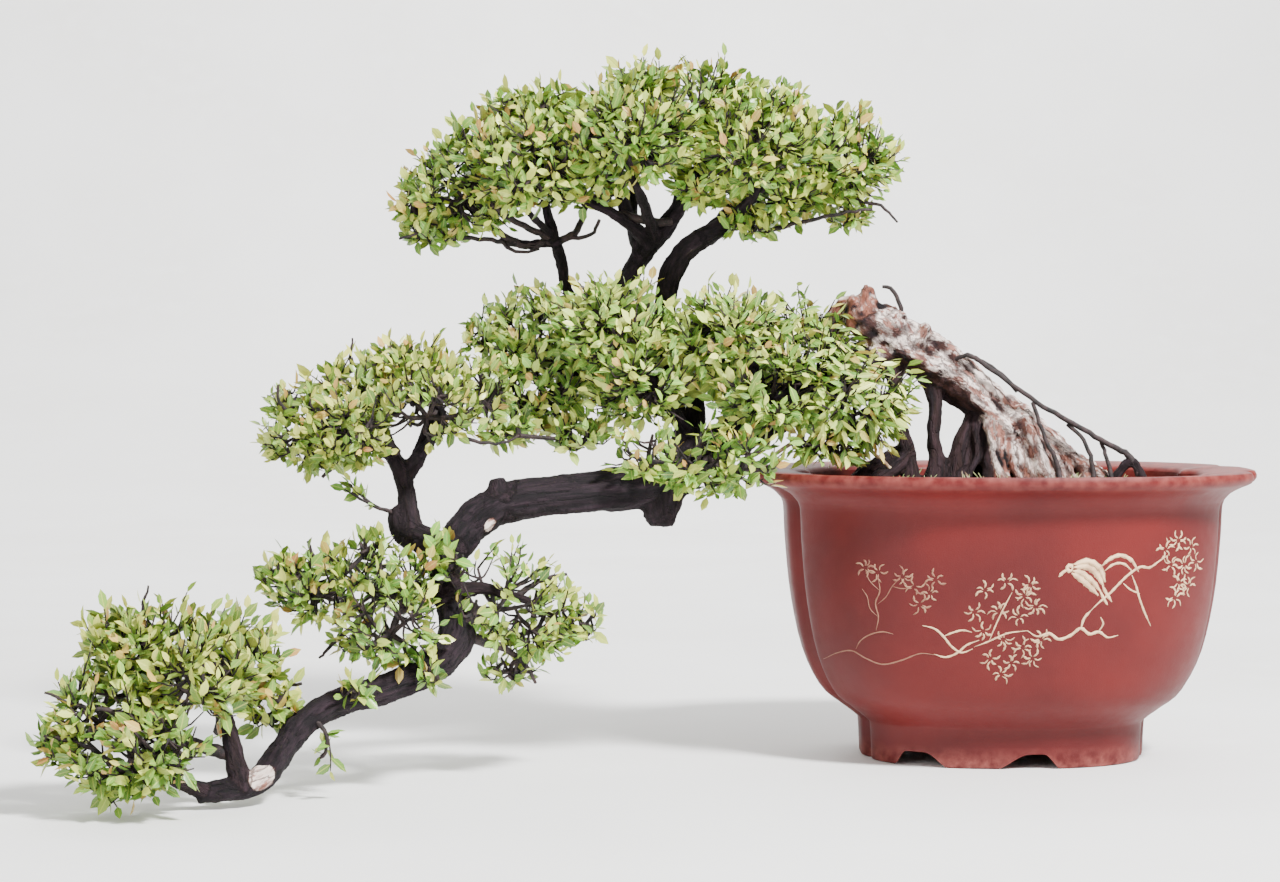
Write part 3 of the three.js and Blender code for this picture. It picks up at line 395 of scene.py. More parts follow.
def drawn(stations: Rows, pace: float, least: int) -> tuple[np.ndarray, float]:
    """Draws the smooth line through stations, with its points evenly paced.

    Args:
        stations: rows that start with a place.
        pace: millimetres between the line's points.
        least: fewest pieces of the line.

    Returns:
        The line's rows, and its length in millimetres.
    """
    rows = np.array(stations, dtype=float)
    length = float(np.linalg.norm(np.diff(rows[:, :3], axis=0), axis=1).sum())
    return catmull(rows, max(least, int(length / pace))), length


def unit(rows: np.ndarray) -> np.ndarray:
    """Scales each row to length one."""
    return rows / np.maximum(np.linalg.norm(rows, axis=-1, keepdims=True), 1e-9)


def wave(share: float, low: float, high: float) -> float:
    """Rises from 0 at low to 1 at high, and stays between."""
    return min(1.0, max(0.0, (share - low) / (high - low)))


def cloud(x: float, y: float, scale: float, layer: float) -> float:
    """Reads a layer of smooth noise, about -1 to 1, at a place."""
    return noise.noise(Vector((x * scale, y * scale, layer)))


def step(draw: random.Random, *ranges: tuple[float, float]) -> np.ndarray:
    """Draws a random step, one range for each of its directions."""
    return np.array([draw.uniform(low, high) for low, high in ranges])


def moving_frames(line: np.ndarray) -> tuple[np.ndarray, np.ndarray, np.ndarray]:
    """Finds the tangent and two cross directions along a line, without twist.

    Args:
        line: points as rows.

    Returns:
        Tangents, normals and binormals, one row for each point.
    """
    tangents = unit(np.gradient(line, axis=0))
    start = np.cross(tangents[0], UP if abs(tangents[0][2]) < 0.9 else (1.0, 0.0, 0.0))
    normals = [start / np.linalg.norm(start)]
    for tangent in tangents[1:]:
        carried = normals[-1] - tangent * np.dot(normals[-1], tangent)
        normals.append(carried / np.linalg.norm(carried))
    normals = np.array(normals)
    return tangents, normals, np.cross(tangents, normals)


def skin(rings: int, sides: int) -> np.ndarray:
    """Lists the quads that join rings of points.

    Args:
        rings: how many rings follow each other.
        sides: points of a ring.

    Returns:
        Corners as rows of four.
    """
    k, i = np.meshgrid(np.arange(rings - 1), np.arange(sides), indexing="ij")
    j = (i + 1) % sides
    corners = [k * sides + i, k * sides + j, (k + 1) * sides + j, (k + 1) * sides + i]
    return np.stack(corners, -1).reshape(-1, 4)


@dataclass
class Gathering:
    """Vertices, faces and marks that grow into one mesh."""

    points: list[np.ndarray] = field(default_factory=list)
    marks: list[np.ndarray] = field(default_factory=list)
    veins: list[np.ndarray] = field(default_factory=list)
    threes: list[np.ndarray] = field(default_factory=list)
    fours: list[np.ndarray] = field(default_factory=list)
    three_slots: list[np.ndarray] = field(default_factory=list)
    four_slots: list[np.ndarray] = field(default_factory=list)
    count: int = 0

    def add(self, points: np.ndarray, threes: np.ndarray = (), fours: np.ndarray = (), slot: int = 0,
            marks: np.ndarray | None = None, veins: np.ndarray | None = None) -> None:
        """Adds a shape.

        Args:
            points: its points in metres.
            threes, fours: corners of its triangles and quads, counted from its own first point.
            slot: material slot of its faces.
            marks: four growth marks for each point.
            veins: place across and along the blade for each point.
        """
        self.points.append(points)
        self.marks.append(np.zeros((len(points), 4)) if marks is None else marks)
        self.veins.append(np.zeros((len(points), 2)) if veins is None else veins)
        self.threes.append(np.asarray(threes, dtype=int).reshape(-1, 3) + self.count)
        self.fours.append(np.asarray(fours, dtype=int).reshape(-1, 4) + self.count)
        self.three_slots.append(np.full(len(self.threes[-1]), slot))
        self.four_slots.append(np.full(len(self.fours[-1]), slot))
        self.count += len(points)

    def tube(self, line: np.ndarray, radii: np.ndarray, sides: int, slot: int = 0,
             shape: np.ndarray | None = None) -> None:
        """Adds a closed tube along a line.

        Args:
            line: points as rows, in millimetres.
            radii: one radius for each point, in millimetres.
            sides: corners of its section.
            slot: material slot of its faces.
            shape: optional factor on the radius for each point and side.
        """
        line = in_frame(line)
        _, normals, binormals = moving_frames(line)
        angles = np.linspace(0, 2 * math.pi, sides, endpoint=False)
        reach = (np.asarray(radii) * MM)[:, None] * (np.ones((len(line), sides)) if shape is None else shape)
        spokes = normals[:, None] * np.cos(angles)[:, None] + binormals[:, None] * np.sin(angles)[:, None]
        rings = line[:, None] + spokes * reach[..., None]
        points = np.vstack([rings.reshape(-1, 3), line[:1], line[-1:]])
        side, after = np.arange(sides), (np.arange(sides) + 1) % sides
        last = (len(line) - 1) * sides
        start, end = np.full(sides, len(points) - 2), np.full(sides, len(points) - 1)
        threes = np.vstack([np.stack([start, after, side], -1), np.stack([end, last + side, last + after], -1)])
        self.add(points, threes, skin(len(line), sides), slot)

    def to_object(self, name: str, *finishes: "Finish") -> Object:
        """Makes the mesh and its object.

        Args:
            name: the piece's name.
            finishes: what its material slots are built from, in order.

        Returns:
            The new object at the origin.
        """
        points = np.vstack(self.points)
        threes, fours = np.vstack(self.threes), np.vstack(self.fours)
        corners = np.concatenate([threes.ravel(), fours.ravel()])
        sizes = np.concatenate([np.full(len(threes), 3), np.full(len(fours), 4)])
        mesh = bpy.data.meshes.new(name)
        mesh.vertices.add(len(points))
        mesh.vertices.foreach_set("co", points.ravel())
        mesh.loops.add(len(corners))
        mesh.loops.foreach_set("vertex_index", corners)
        mesh.polygons.add(len(sizes))
        mesh.polygons.foreach_set("loop_start", np.concatenate([[0], np.cumsum(sizes)[:-1]]))
        mesh.polygons.foreach_set("material_index", np.concatenate(self.three_slots + self.four_slots))
        mesh.update(calc_edges=True)
        mark = mesh.attributes.new("growth", "FLOAT_COLOR", "POINT")
        mark.data.foreach_set("color", np.vstack(self.marks).ravel())
        layer = mesh.uv_layers.new(name="blade")
        layer.data.foreach_set("uv", np.vstack(self.veins)[corners].ravel())
        for finish in finishes:
            mesh.materials.append(finish.build())
        thing = bpy.data.objects.new(name, mesh)
        bpy.context.collection.objects.link(thing)
        return thing


def only(thing: Object) -> None:
    """Selects one object alone and makes it active."""
    bpy.ops.object.select_all(action="DESELECT")
    thing.select_set(True)
    bpy.context.view_layer.objects.active = thing


def start_editing(thing: Object, select: str = "SELECT") -> None:
    """Goes into edit mode on one object alone, with all or nothing of it selected."""
    only(thing)
    bpy.ops.object.mode_set(mode="EDIT")
    bpy.ops.mesh.select_all(action=select)


def face_outward(thing: Object) -> None:
    """Turns all the faces of a piece outward, and leaves it in object mode."""
    if thing.mode != "EDIT":
        start_editing(thing)
    bpy.ops.mesh.select_all(action="SELECT")
    bpy.ops.mesh.normals_make_consistent(inside=False)
    bpy.ops.object.mode_set(mode="OBJECT")


def smooth(thing: Object, degrees: float) -> None:
    """Shades a piece smooth, with edges past an angle kept sharp."""
    only(thing)
    bpy.ops.object.shade_smooth_by_angle(angle=math.radians(degrees))


def finish_with(thing: Object, kind: str, **settings: object) -> None:
    """Adds a modifier and applies it.

    Args:
        thing: the piece.
        kind: the modifier's type.
        settings: values set on the modifier.
    """
    only(thing)
    modifier = thing.modifiers.new(kind.lower(), kind)
    for key, value in settings.items():
        setattr(modifier, key, value)
    bpy.ops.object.modifier_apply(modifier=modifier.name)


def dress(thing: Object, finish: "Finish") -> None:
    """Gives a piece one finish in place of what it has."""
    thing.data.materials.clear()
    thing.data.materials.append(finish.build())


def hand_over(piece: Object, slot: str, *nodes: str) -> None:
    """Lets a piece ride, and lets it stand for its CAD nodes.

    Args:
        piece: the finished piece.
        slot: the name of a material slot; not used.
        nodes: the CAD nodes that it replaces.
    """
    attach(piece, BODY)
    if nodes:
        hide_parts(*nodes)
    triangles = sum(len(face.vertices) - 2 for face in piece.data.polygons)
    LOG.info("%s: %d triangles, stands for %s", piece.name, triangles, ", ".join(nodes) or "nothing")


# Materials

class Nodes:
    """A small pen for node trees."""

    def __init__(self, tree: NodeTree) -> None:
        """Starts on a tree."""
        self.tree = tree

    def add(self, kind: str, inputs: dict[str | int, object] | None = None, **settings: object) -> Node:
        """Adds a node.

        Args:
            kind: the node's type.
            inputs: socket names or places with a value or a socket to link.
            settings: values set on the node itself.

        Returns:
            The node.
        """
        node = self.tree.nodes.new(kind)
        for key, value in settings.items():
            setattr(node, key, value)
        for key, value in (inputs or {}).items():
            if isinstance(value, NodeSocket):
                self.tree.links.new(value, node.inputs[key])
            else:
                node.inputs[key].default_value = value
        return node

    def mix(self, share: object, first: object, second: object) -> NodeSocket:
        """Mixes two colours by a share."""
        return self.add("ShaderNodeMix", {0: share, 6: first, 7: second}, data_type="RGBA").outputs[2]

    def band(self, value: object, low: float, high: float) -> NodeSocket:
        """Turns a value into a mask that rises from low to high."""
        return self.add("ShaderNodeMapRange", {"Value": value, "From Min": low, "From Max": high}).outputs[0]

    def range(self, mask: object, low: float, high: float) -> NodeSocket:
        """Turns a mask into values from low to high."""
        return self.add("ShaderNodeMapRange", {"Value": mask, "To Min": low, "To Max": high}).outputs[0]

    def math(self, operation: str, first: object, second: object = 0.0) -> NodeSocket:
        """Works out one sum."""
        return self.add("ShaderNodeMath", {0: first, 1: second}, operation=operation).outputs[0]

    def times(self, first: object, second: object) -> NodeSocket:
        """Multiplies two values."""
        return self.math("MULTIPLY", first, second)

    def noise(self, place: object, scale: object, detail: object, **more: float) -> NodeSocket:
        """Places a noise texture and returns its value."""
        inputs = {"Vector": place, "Scale": scale, "Detail": detail, **more}
        return self.add("ShaderNodeTexNoise", inputs).outputs[0]

    def growth(self) -> list[NodeSocket]:
        """Splits the growth marks into red, green and blue."""
        marks = self.add("ShaderNodeAttribute", attribute_name="growth").outputs["Color"]
        return self.add("ShaderNodeSeparateColor", {0: marks}).outputs[:3]


def mottle_group() -> NodeTree:
    """Builds the shared group for cloudy patches and fine grain.

    Returns:
        A group with Scale and Detail inputs, and Patches, Grain and Flakes outputs.
    """
    group = bpy.data.node_groups.new("mottle", "ShaderNodeTree")
    for name, value in (("Scale", 60.0), ("Detail", 6.0)):
        socket = group.interface.new_socket(name, in_out="INPUT", socket_type="NodeSocketFloat")
        socket.default_value = value
    for name in ("Patches", "Grain", "Flakes"):
        group.interface.new_socket(name, in_out="OUTPUT", socket_type="NodeSocketFloat")
    pen = Nodes(group)
    scale, detail = pen.add("NodeGroupInput").outputs[:2]
    place = pen.add("ShaderNodeTexCoord").outputs["Object"]
    patches = pen.add("ShaderNodeTexNoise", {"Vector": place, "Scale": scale, "Detail": detail})
    grain = pen.noise(place, pen.times(scale, 9.0), 3.0)
    bent = pen.add("ShaderNodeMix", {0: 0.02, 4: place, 5: patches.outputs["Color"]}, data_type="VECTOR")
    flakes = pen.add("ShaderNodeTexVoronoi", {"Vector": bent.outputs[1], "Scale": pen.times(scale, 3.2)},
                     feature="DISTANCE_TO_EDGE").outputs[0]
    sink = pen.add("NodeGroupOutput")
    for name, socket in (("Patches", patches.outputs[0]), ("Grain", grain), ("Flakes", flakes)):
        group.links.new(socket, sink.inputs[name])
    return group


@dataclass(frozen=True)
class Finish:
    """What every finish shares: a name and a Principled surface."""

    name: str

    def start(self) -> tuple[Material, Nodes, Node]:
        """Makes the material, a pen for its nodes, and its Principled shader."""
        material = bpy.data.materials.new(self.name)
        material.use_nodes = True
        return material, Nodes(material.node_tree), material.node_tree.nodes["Principled BSDF"]

    def mottle(self, pen: Nodes, scale: float) -> list[NodeSocket]:
        """Places the shared group at a scale and returns its patches, grain and flakes."""
        node = pen.add("ShaderNodeGroup", node_tree=bpy.data.node_groups.get("mottle") or mottle_group())
        node.inputs["Scale"].default_value = scale
        return node.outputs[:3]

    def lead(self, pen: Nodes, shader: Node, colour: NodeSocket, mask: NodeSocket, ends: tuple[float, float],
             height: NodeSocket, strength: float, depth: float) -> None:
        """Leads the colour, the roughness and the relief into the shader.

        Args:
            pen: the pen of the material's nodes.
            shader: the Principled shader.
            colour: the base colour.
            mask: what the roughness follows.
            ends: the roughness at the mask's 0 and 1.
            height: what the bump follows.
            strength: the bump's strength.
            depth: the bump's distance in metres.
        """
        bump = pen.add("ShaderNodeBump", {"Height": height, "Strength": strength, "Distance": depth})
        leads = {"Base Color": colour, "Roughness": pen.range(mask, *ends), "Normal": bump.outputs[0]}
        for name, socket in leads.items():
            pen.tree.links.new(socket, shader.inputs[name])


@dataclass(frozen=True)
class LeafFinish(Finish):
    """A glossy leaf, green with pale veins, turning yellow and bronze towards the twig tips."""

    old: Colour
    fresh: Colour
    young: Colour
    bronze: Colour

    def build(self) -> Material:
        """Builds the material from the growth marks and the blade UV map.

        Growth's red says how young a leaf is, its green how fresh its green is, its blue how bronze.

        Returns:
            The material.
        """
        material, pen, shader = self.start()
        youth, fresh, bronze = pen.growth()
        tinted = pen.mix(youth, pen.mix(fresh, self.old, self.fresh), self.young)
        tinted = pen.mix(bronze, tinted, self.bronze)
        blade = pen.add("ShaderNodeUVMap", uv_map="blade").outputs[0]
        across, along = pen.add("ShaderNodeSeparateXYZ", {0: blade}).outputs[:2]
        from_rib = pen.math("ABSOLUTE", across)
        slanted = pen.math("SUBTRACT", along, pen.times(from_rib, 0.32))
        side_veins = pen.band(pen.math("PINGPONG", slanted, 0.09), 0.02, 0.0)
        veins = pen.math("MAXIMUM", pen.band(from_rib, 0.16, 0.03), pen.times(side_veins, 0.45))
        coloured = pen.mix(pen.times(veins, 0.4), tinted, self.young)
        patches, _, _ = self.mottle(pen, 90.0)
        self.lead(pen, shader, coloured, patches, (0.22, 0.42), pen.times(veins, -1.0), 0.35, 0.0004)
        shader.inputs["Specular IOR Level"].default_value = 0.36
        shader.inputs["Coat Weight"].default_value = 0.2
        shader.inputs["Coat Roughness"].default_value = 0.24
        return material


@dataclass(frozen=True)
class BarkFinish(Finish):
    """Bark with lengthwise plates: dark on the limb, bleached where the growth mark is high, a mark that also
    holds painted light where the bark faces up.
    """

    deep: Colour
    plate: Colour
    bleached: Colour
    rust: Colour

    def build(self) -> Material:
        """Builds the material along the grain attribute, which runs with each limb.

        Growth's red says how bleached the bark is, with painted light where the bark faces up; its green
        how deep a place lies in the grooves or hollows, which is painted shade; and its blue how raw and
        rusty the wood is.

        Returns:
            The material.
        """
        material, pen, shader = self.start()
        grain = pen.add("ShaderNodeAttribute", attribute_name="grain").outputs["Vector"]
        bleach_and_painted_light, painted_groove_shade, raw = pen.growth()
        streaks = pen.noise(grain, 0.42, 6.0, Roughness=0.68)
        spots = pen.noise(grain, 0.22, 5.0, Roughness=0.65)
        fissures = pen.noise(grain, 0.2, 3.0, Distortion=0.6)
        cracks = pen.band(pen.math("ABSOLUTE", pen.math("SUBTRACT", fissures, 0.5)), 0.035, 0.0)
        dark = pen.mix(pen.band(streaks, 0.38, 0.66), self.deep, self.plate)
        # Painted shade: the grooves and hollows turn to the deep and plate colours.
        dark = pen.mix(pen.times(painted_groove_shade, 0.7), dark, self.deep)
        pale = pen.mix(pen.times(pen.band(spots, 0.5, 0.57), 0.9), self.bleached, self.rust)
        pale = pen.mix(pen.times(pen.band(streaks, 0.54, 0.64), 0.78), pale, self.plate)
        pale = pen.mix(pen.times(pen.math("MAXIMUM", cracks, painted_groove_shade), 0.82), pale, self.plate)
        ragged = pen.math("ADD", bleach_and_painted_light, pen.times(pen.math("SUBTRACT", streaks, 0.5), 1.5))
        coloured = pen.mix(pen.band(ragged, 0.26, 0.68), dark, pale)
        coloured = pen.mix(pen.times(raw, pen.band(spots, 0.36, 0.56)), coloured, self.rust)
        height = pen.math("SUBTRACT", pen.times(streaks, 1.4), pen.times(cracks, 0.5))
        self.lead(pen, shader, coloured, streaks, (0.7, 0.98), height, 0.9, 0.0014)
        shader.inputs["Specular IOR Level"].default_value = 0.25
        return material


@dataclass(frozen=True)
class TwigFinish(Finish):
    """Thin smooth twig bark in two browns with paler pores."""

    deep: Colour
    skin: Colour
    pore: Colour

    def build(self) -> Material:
        """Builds the material on Object coordinates."""
        material, pen, shader = self.start()
        patches, grain, flakes = self.mottle(pen, 240.0)
        brown = pen.mix(pen.band(patches, 0.4, 0.62), self.deep, self.skin)
        brown = pen.mix(pen.band(grain, 0.6, 0.72), brown, self.pore)
        self.lead(pen, shader, brown, grain, (0.6, 0.9), flakes, 0.5, 0.0004)
        return material


@dataclass(frozen=True)
class SlipFinish(Finish):
    """Pale slip brushed on clay, thin and rubbed where the growth mark says so; the mark also paints shadow on
    the picture's left side.
    """

    slip: Colour
    clay: Colour

    def build(self) -> Material:
        """Builds the material; growth's red says how much clay shows through, for thin slip and for painted
        shadow.
        """
        material, pen, shader = self.start()
        patches, grain, _ = self.mottle(pen, 170.0)
        # Thin slip, painted shadow and rubbed patches let the clay show.
        wear_and_shadow = pen.math("MAXIMUM", pen.growth()[0], pen.times(pen.band(patches, 0.4, 0.72), 0.55))
        self.lead(pen, shader, pen.mix(wear_and_shadow, self.slip, self.clay), grain, (0.5, 0.75), grain, 0.3, 0.0002)
        return material


@dataclass(frozen=True)
class ClayFinish(Finish):
    """Fired red clay, burnished satin, darker in patches, with dust near the ground, a painted highlight mixed
    with rubbing on the lip, and painted shade towards the foot.
    """

    body: Colour
    dark: Colour
    dust_and_highlight: Colour
    foot_m: float
    lip_m: float

    def build(self) -> Material:
        """Builds the material on Object coordinates.

        Returns:
            The material.
        """
        material, pen, shader = self.start()
        patches = pen.band(self.mottle(pen, 14.0)[0], 0.35, 0.68)
        fine_patches, fine_grain, _ = self.mottle(pen, 160.0)
        clay = pen.mix(pen.math("ADD", pen.times(patches, 0.55), 0.45), self.dark, self.body)
        place = pen.add("ShaderNodeTexCoord").outputs["Object"]
        height = pen.add("ShaderNodeSeparateXYZ", {0: place}).outputs[2]
        # The light band is dust near the ground, and rubbing with a painted highlight on the lip.
        edges = pen.math("MAXIMUM", pen.band(height, self.foot_m, 0.0),
                         pen.band(height, self.lip_m, self.lip_m + 0.012))
        dust_and_lip_highlight = pen.times(edges, pen.band(fine_patches, 0.35, 0.7))
        # Painted shade: the clay turns darker towards the foot.
        clay = pen.mix(pen.times(pen.band(height, 0.05, 0.012), 0.3), clay, self.dark)
        clay = pen.mix(pen.times(dust_and_lip_highlight, 0.34), clay, self.dust_and_highlight)
        clay = pen.mix(pen.times(pen.band(fine_grain, 0.66, 0.78), 0.35), clay, self.dark)
        relief = pen.math("ADD", fine_grain, fine_patches)
        self.lead(pen, shader, clay, fine_patches, (0.42, 0.62), relief, 0.25, 0.0003)
        shader.inputs["Specular IOR Level"].default_value = 0.22
        shader.inputs["Coat Weight"].default_value = 0.04
        shader.inputs["Coat Roughness"].default_value = 0.3
        return material


@dataclass(frozen=True)
class GroundFinish(Finish):
    """Anything rough and grainy in two colours: soil, grit, moss, grass, net and the studio's floor."""

    first: Colour
    second: Colour
    scale: float
    roughness: float
    relief_m: float

    def build(self) -> Material:
        """Builds the material on Object coordinates.

        Returns:
            The material.
        """
        material, pen, shader = self.start()
        patches, grain, _ = self.mottle(pen, self.scale)
        share = pen.math("MAXIMUM", pen.band(patches, 0.38, 0.62), pen.times(pen.band(grain, 0.45, 0.7), 0.6))
        ends = (self.roughness, min(1.0, self.roughness + 0.15))
        self.lead(pen, shader, pen.mix(share, self.first, self.second), grain, ends, grain, 0.6, self.relief_m)
        return material


LEAF = LeafFinish("leaf_green", srgb(50, 94, 38), srgb(120, 176, 66), srgb(220, 224, 106), srgb(204, 128, 80))
# A lighter copy of the leaf for the middle head: painted light that makes up for the crown's shade on it.
SUNLIT_LEAF = LeafFinish("leaf_sunlit", srgb(58, 104, 44), srgb(136, 190, 80), srgb(232, 236, 124),
                         srgb(214, 140, 92))
YOUNG_LEAF = LeafFinish("leaf_young", srgb(54, 92, 36), srgb(128, 172, 66), srgb(222, 222, 108),
                        srgb(204, 126, 78))
BARK = BarkFinish("bark", srgb(10, 7, 10), srgb(46, 34, 41), srgb(250, 233, 224), srgb(144, 90, 74))
TWIG = TwigFinish("twig_bark", srgb(17, 11, 13), srgb(54, 39, 40), srgb(98, 78, 72))
STRAW = TwigFinish("dry_twig", srgb(150, 118, 88), srgb(214, 190, 156), srgb(238, 222, 196))
CLAY = ClayFinish("red_clay", srgb(97, 23, 21), srgb(58, 14, 16), srgb(206, 122, 110), 0.012, 0.148)
SLIP = SlipFinish("pale_slip", srgb(236, 200, 156), srgb(102, 32, 28))
SOIL = GroundFinish("potting_soil", srgb(46, 33, 27), srgb(92, 70, 56), 110.0, 0.85, 0.0016)
GRIT = GroundFinish("grit", srgb(88, 70, 58), srgb(170, 152, 134), 140.0, 0.8, 0.0006)
MOSS = GroundFinish("moss", srgb(62, 88, 34), srgb(136, 152, 70), 300.0, 0.9, 0.0012)
GRASS = GroundFinish("grass", srgb(98, 118, 62), srgb(190, 196, 140), 260.0, 0.7, 0.0002)
NET = GroundFinish("net_plastic", srgb(30, 34, 38), srgb(58, 62, 66), 80.0, 0.5, 0.0001)
FLOOR = GroundFinish("pale_floor", srgb(244, 243, 241), srgb(250, 250, 249), 3.0, 0.7, 0.0001)


# The pot

NOTCH_ANGLE = 14.1
NOTCH_SHARE = 0.05
NOTCH_WIDTH = 3.4
PLAN_DEPTH = 0.8
PLAN_SQUARENESS = 2.35


def outline(angle: float) -> float:
    """Gives the lobed outline's radius in a direction, 1 at the middle of its ends."""
    c, s = abs(math.cos(angle)), abs(math.sin(angle)) / PLAN_DEPTH
    rounded = (c**PLAN_SQUARENESS + s**PLAN_SQUARENESS) ** (-1 / PLAN_SQUARENESS)
    from_axis = math.degrees(math.atan2(abs(math.sin(angle)), c))
    flute = math.exp(-(((from_axis - NOTCH_ANGLE) / NOTCH_WIDTH) ** 2))
    return rounded * (1 - NOTCH_SHARE * flute)


def reach_share(x: float, y: float, reach: float) -> float:
    """Gives how far out a place lies, as a share of the outline that has a reach along X."""
    return math.hypot(x, y) / (reach * outline(math.atan2(y, x)))


def turn(name: str, profile: list[tuple[float, float]], sides: int) -> Object:
    """Extrudes the lobed outline ring by ring along a section.

    Args:
        name: the new object's name.
        profile: reach and height of each ring; the first and the last are closed.
        sides: corners of a ring.

    Returns:
        A closed body round the pot's own axis, at the origin.
    """
    reach, height = profile[0]
    bpy.ops.mesh.primitive_circle_add(vertices=sides, radius=reach * MM, fill_type="NGON",
                                      location=(0, 0, height * MM))
    body = bpy.context.object
    body.name = body.data.name = name
    bpy.ops.object.transform_apply(location=True)
    for vertex in body.data.vertices:
        share = outline(math.atan2(vertex.co.y, vertex.co.x))
        vertex.co.x *= share
        vertex.co.y *= share
    start_editing(body)
    for next_reach, next_height in profile[1:]:
        rise = (0, 0, (next_height - height) * MM)
        bpy.ops.mesh.extrude_region_move(TRANSFORM_OT_translate={"value": rise})
        share = next_reach / reach
        bpy.ops.transform.resize(value=(share, share, 1), center_override=(0, 0, next_height * MM))
        reach, height = next_reach, next_height
    face_outward(body)
    return body


def settle(body: Object, finish: Finish, degrees: float) -> None:
    """Moves a turned body to the pot's place, dresses it and shades it smooth.

    Args:
        body: the body, round the origin.
        finish: its finish.
        degrees: the angle past which its edges stay sharp.
    """
    body.data.transform(Matrix.Translation(Vector(AXIS)))
    dress(body, finish)
    smooth(body, degrees)


@dataclass
class ClayPot:
    """The pot: a lobed bowl on a low foot with cut arches and a wide out-turned lip."""

    foot: Rows = ((66.5, 17), (67.4, 2), (68.2, 0.5), (69.6, 0), (75.4, 0), (76.8, 0.6), (77.4, 2), (78, 16),
                  (78.4, 20.4))
    wall: Rows = ((78.9, 21.6), (83, 25), (88.4, 29), (99.4, 38.2), (109.2, 58.5), (115.6, 88), (118.7, 118),
                  (119.6, 136), (120.6, 140.4))
    cove: Rows = ((121, 141.2), (125, 145.4), (130, 148.3), (134.6, 150.2))
    lip: Rows = ((136.6, 151.2), (138, 153.2), (138, 155), (137, 156.9), (135.4, 157.4), (128, 157),
                 (115, 155.6))
    inside: Rows = ((112.6, 154.6), (111, 152), (110, 148), (106.6, 88), (103, 62), (96, 42.6), (80, 26))
    arches: Rows = ((-62.8, -56, -47.5, -32), (26.8, 15.5, 9, -12.5))
    sides: int = 288
    arch_height: float = 8.0
    arch_dip: float = 0.8
    under: float = -4.0
    cut_reach: float = 120.0
    drain_radius: float = 12.0
    drain_depth: float = 30.0
    drain_middle: float = 26.0
    sharp_past: float = 38.0

    def profile(self) -> list[tuple[float, float]]:
        """Joins the stretches of the section into one line of reach and height."""
        wall, cove, inside = catmull(self.wall, 26), catmull(self.cove, 8), catmull(self.inside, 14)
        stretches = (self.foot, wall, cove, self.lip, inside)
        return [(float(reach), float(height)) for stretch in stretches for reach, height in stretch]

    def arch_cutter(self, places: tuple[float, ...]) -> Object:
        """Makes the block that cuts one arch through the foot, front and back.

        Args:
            places: where along X the arch starts, reaches its top, leaves it and ends.

        Returns:
            The closed block.
        """
        outer, outer_top, inner_top, inner = places
        rise = self.arch_height + self.arch_dip
        curve = [(t, rise * (0.5 + 0.5 * math.cos(math.pi * t)) - self.arch_dip) for t in np.linspace(0, 1, 11)]
        section = [(outer, self.under), *((outer_top + (outer - outer_top) * t, z) for t, z in reversed(curve)),
                   *((inner_top + (inner - inner_top) * t, z) for t, z in curve), (inner, self.under)]
        ring = [(x, y, z) for y in (-self.cut_reach, self.cut_reach) for x, z in section]
        n = len(section)
        cutter = Gathering()
        cutter.add(np.array(ring) * MM, fours=[(i, (i + 1) % n, n + (i + 1) % n, n + i) for i in range(n)])
        block = cutter.to_object("arch")
        start_editing(block)
        bpy.ops.mesh.edge_face_add()
        bpy.ops.mesh.fill_holes(sides=0)
        face_outward(block)
        return block

    def cut(self, bowl: Object, cutter: Object) -> None:
        """Cuts one shape out of the bowl."""
        finish_with(bowl, "BOOLEAN", object=cutter, operation="DIFFERENCE", solver="EXACT")
        bpy.data.objects.remove(cutter, do_unlink=True)

    def build(self) -> Object:
        """Makes, cuts, places and dresses the pot.

        Returns:
            The finished pot.
        """
        bowl = turn("pot_body", self.profile(), self.sides)
        for places in self.arches:
            self.cut(bowl, self.arch_cutter(places))
        middle = (0, 0, self.drain_middle * MM)
        bpy.ops.mesh.primitive_cylinder_add(vertices=48, radius=self.drain_radius * MM,
                                            depth=self.drain_depth * MM, location=middle)
        self.cut(bowl, bpy.context.object)
        settle(bowl, CLAY, self.sharp_past)
        hand_over(bowl, "clay", "pot")
        return bowl


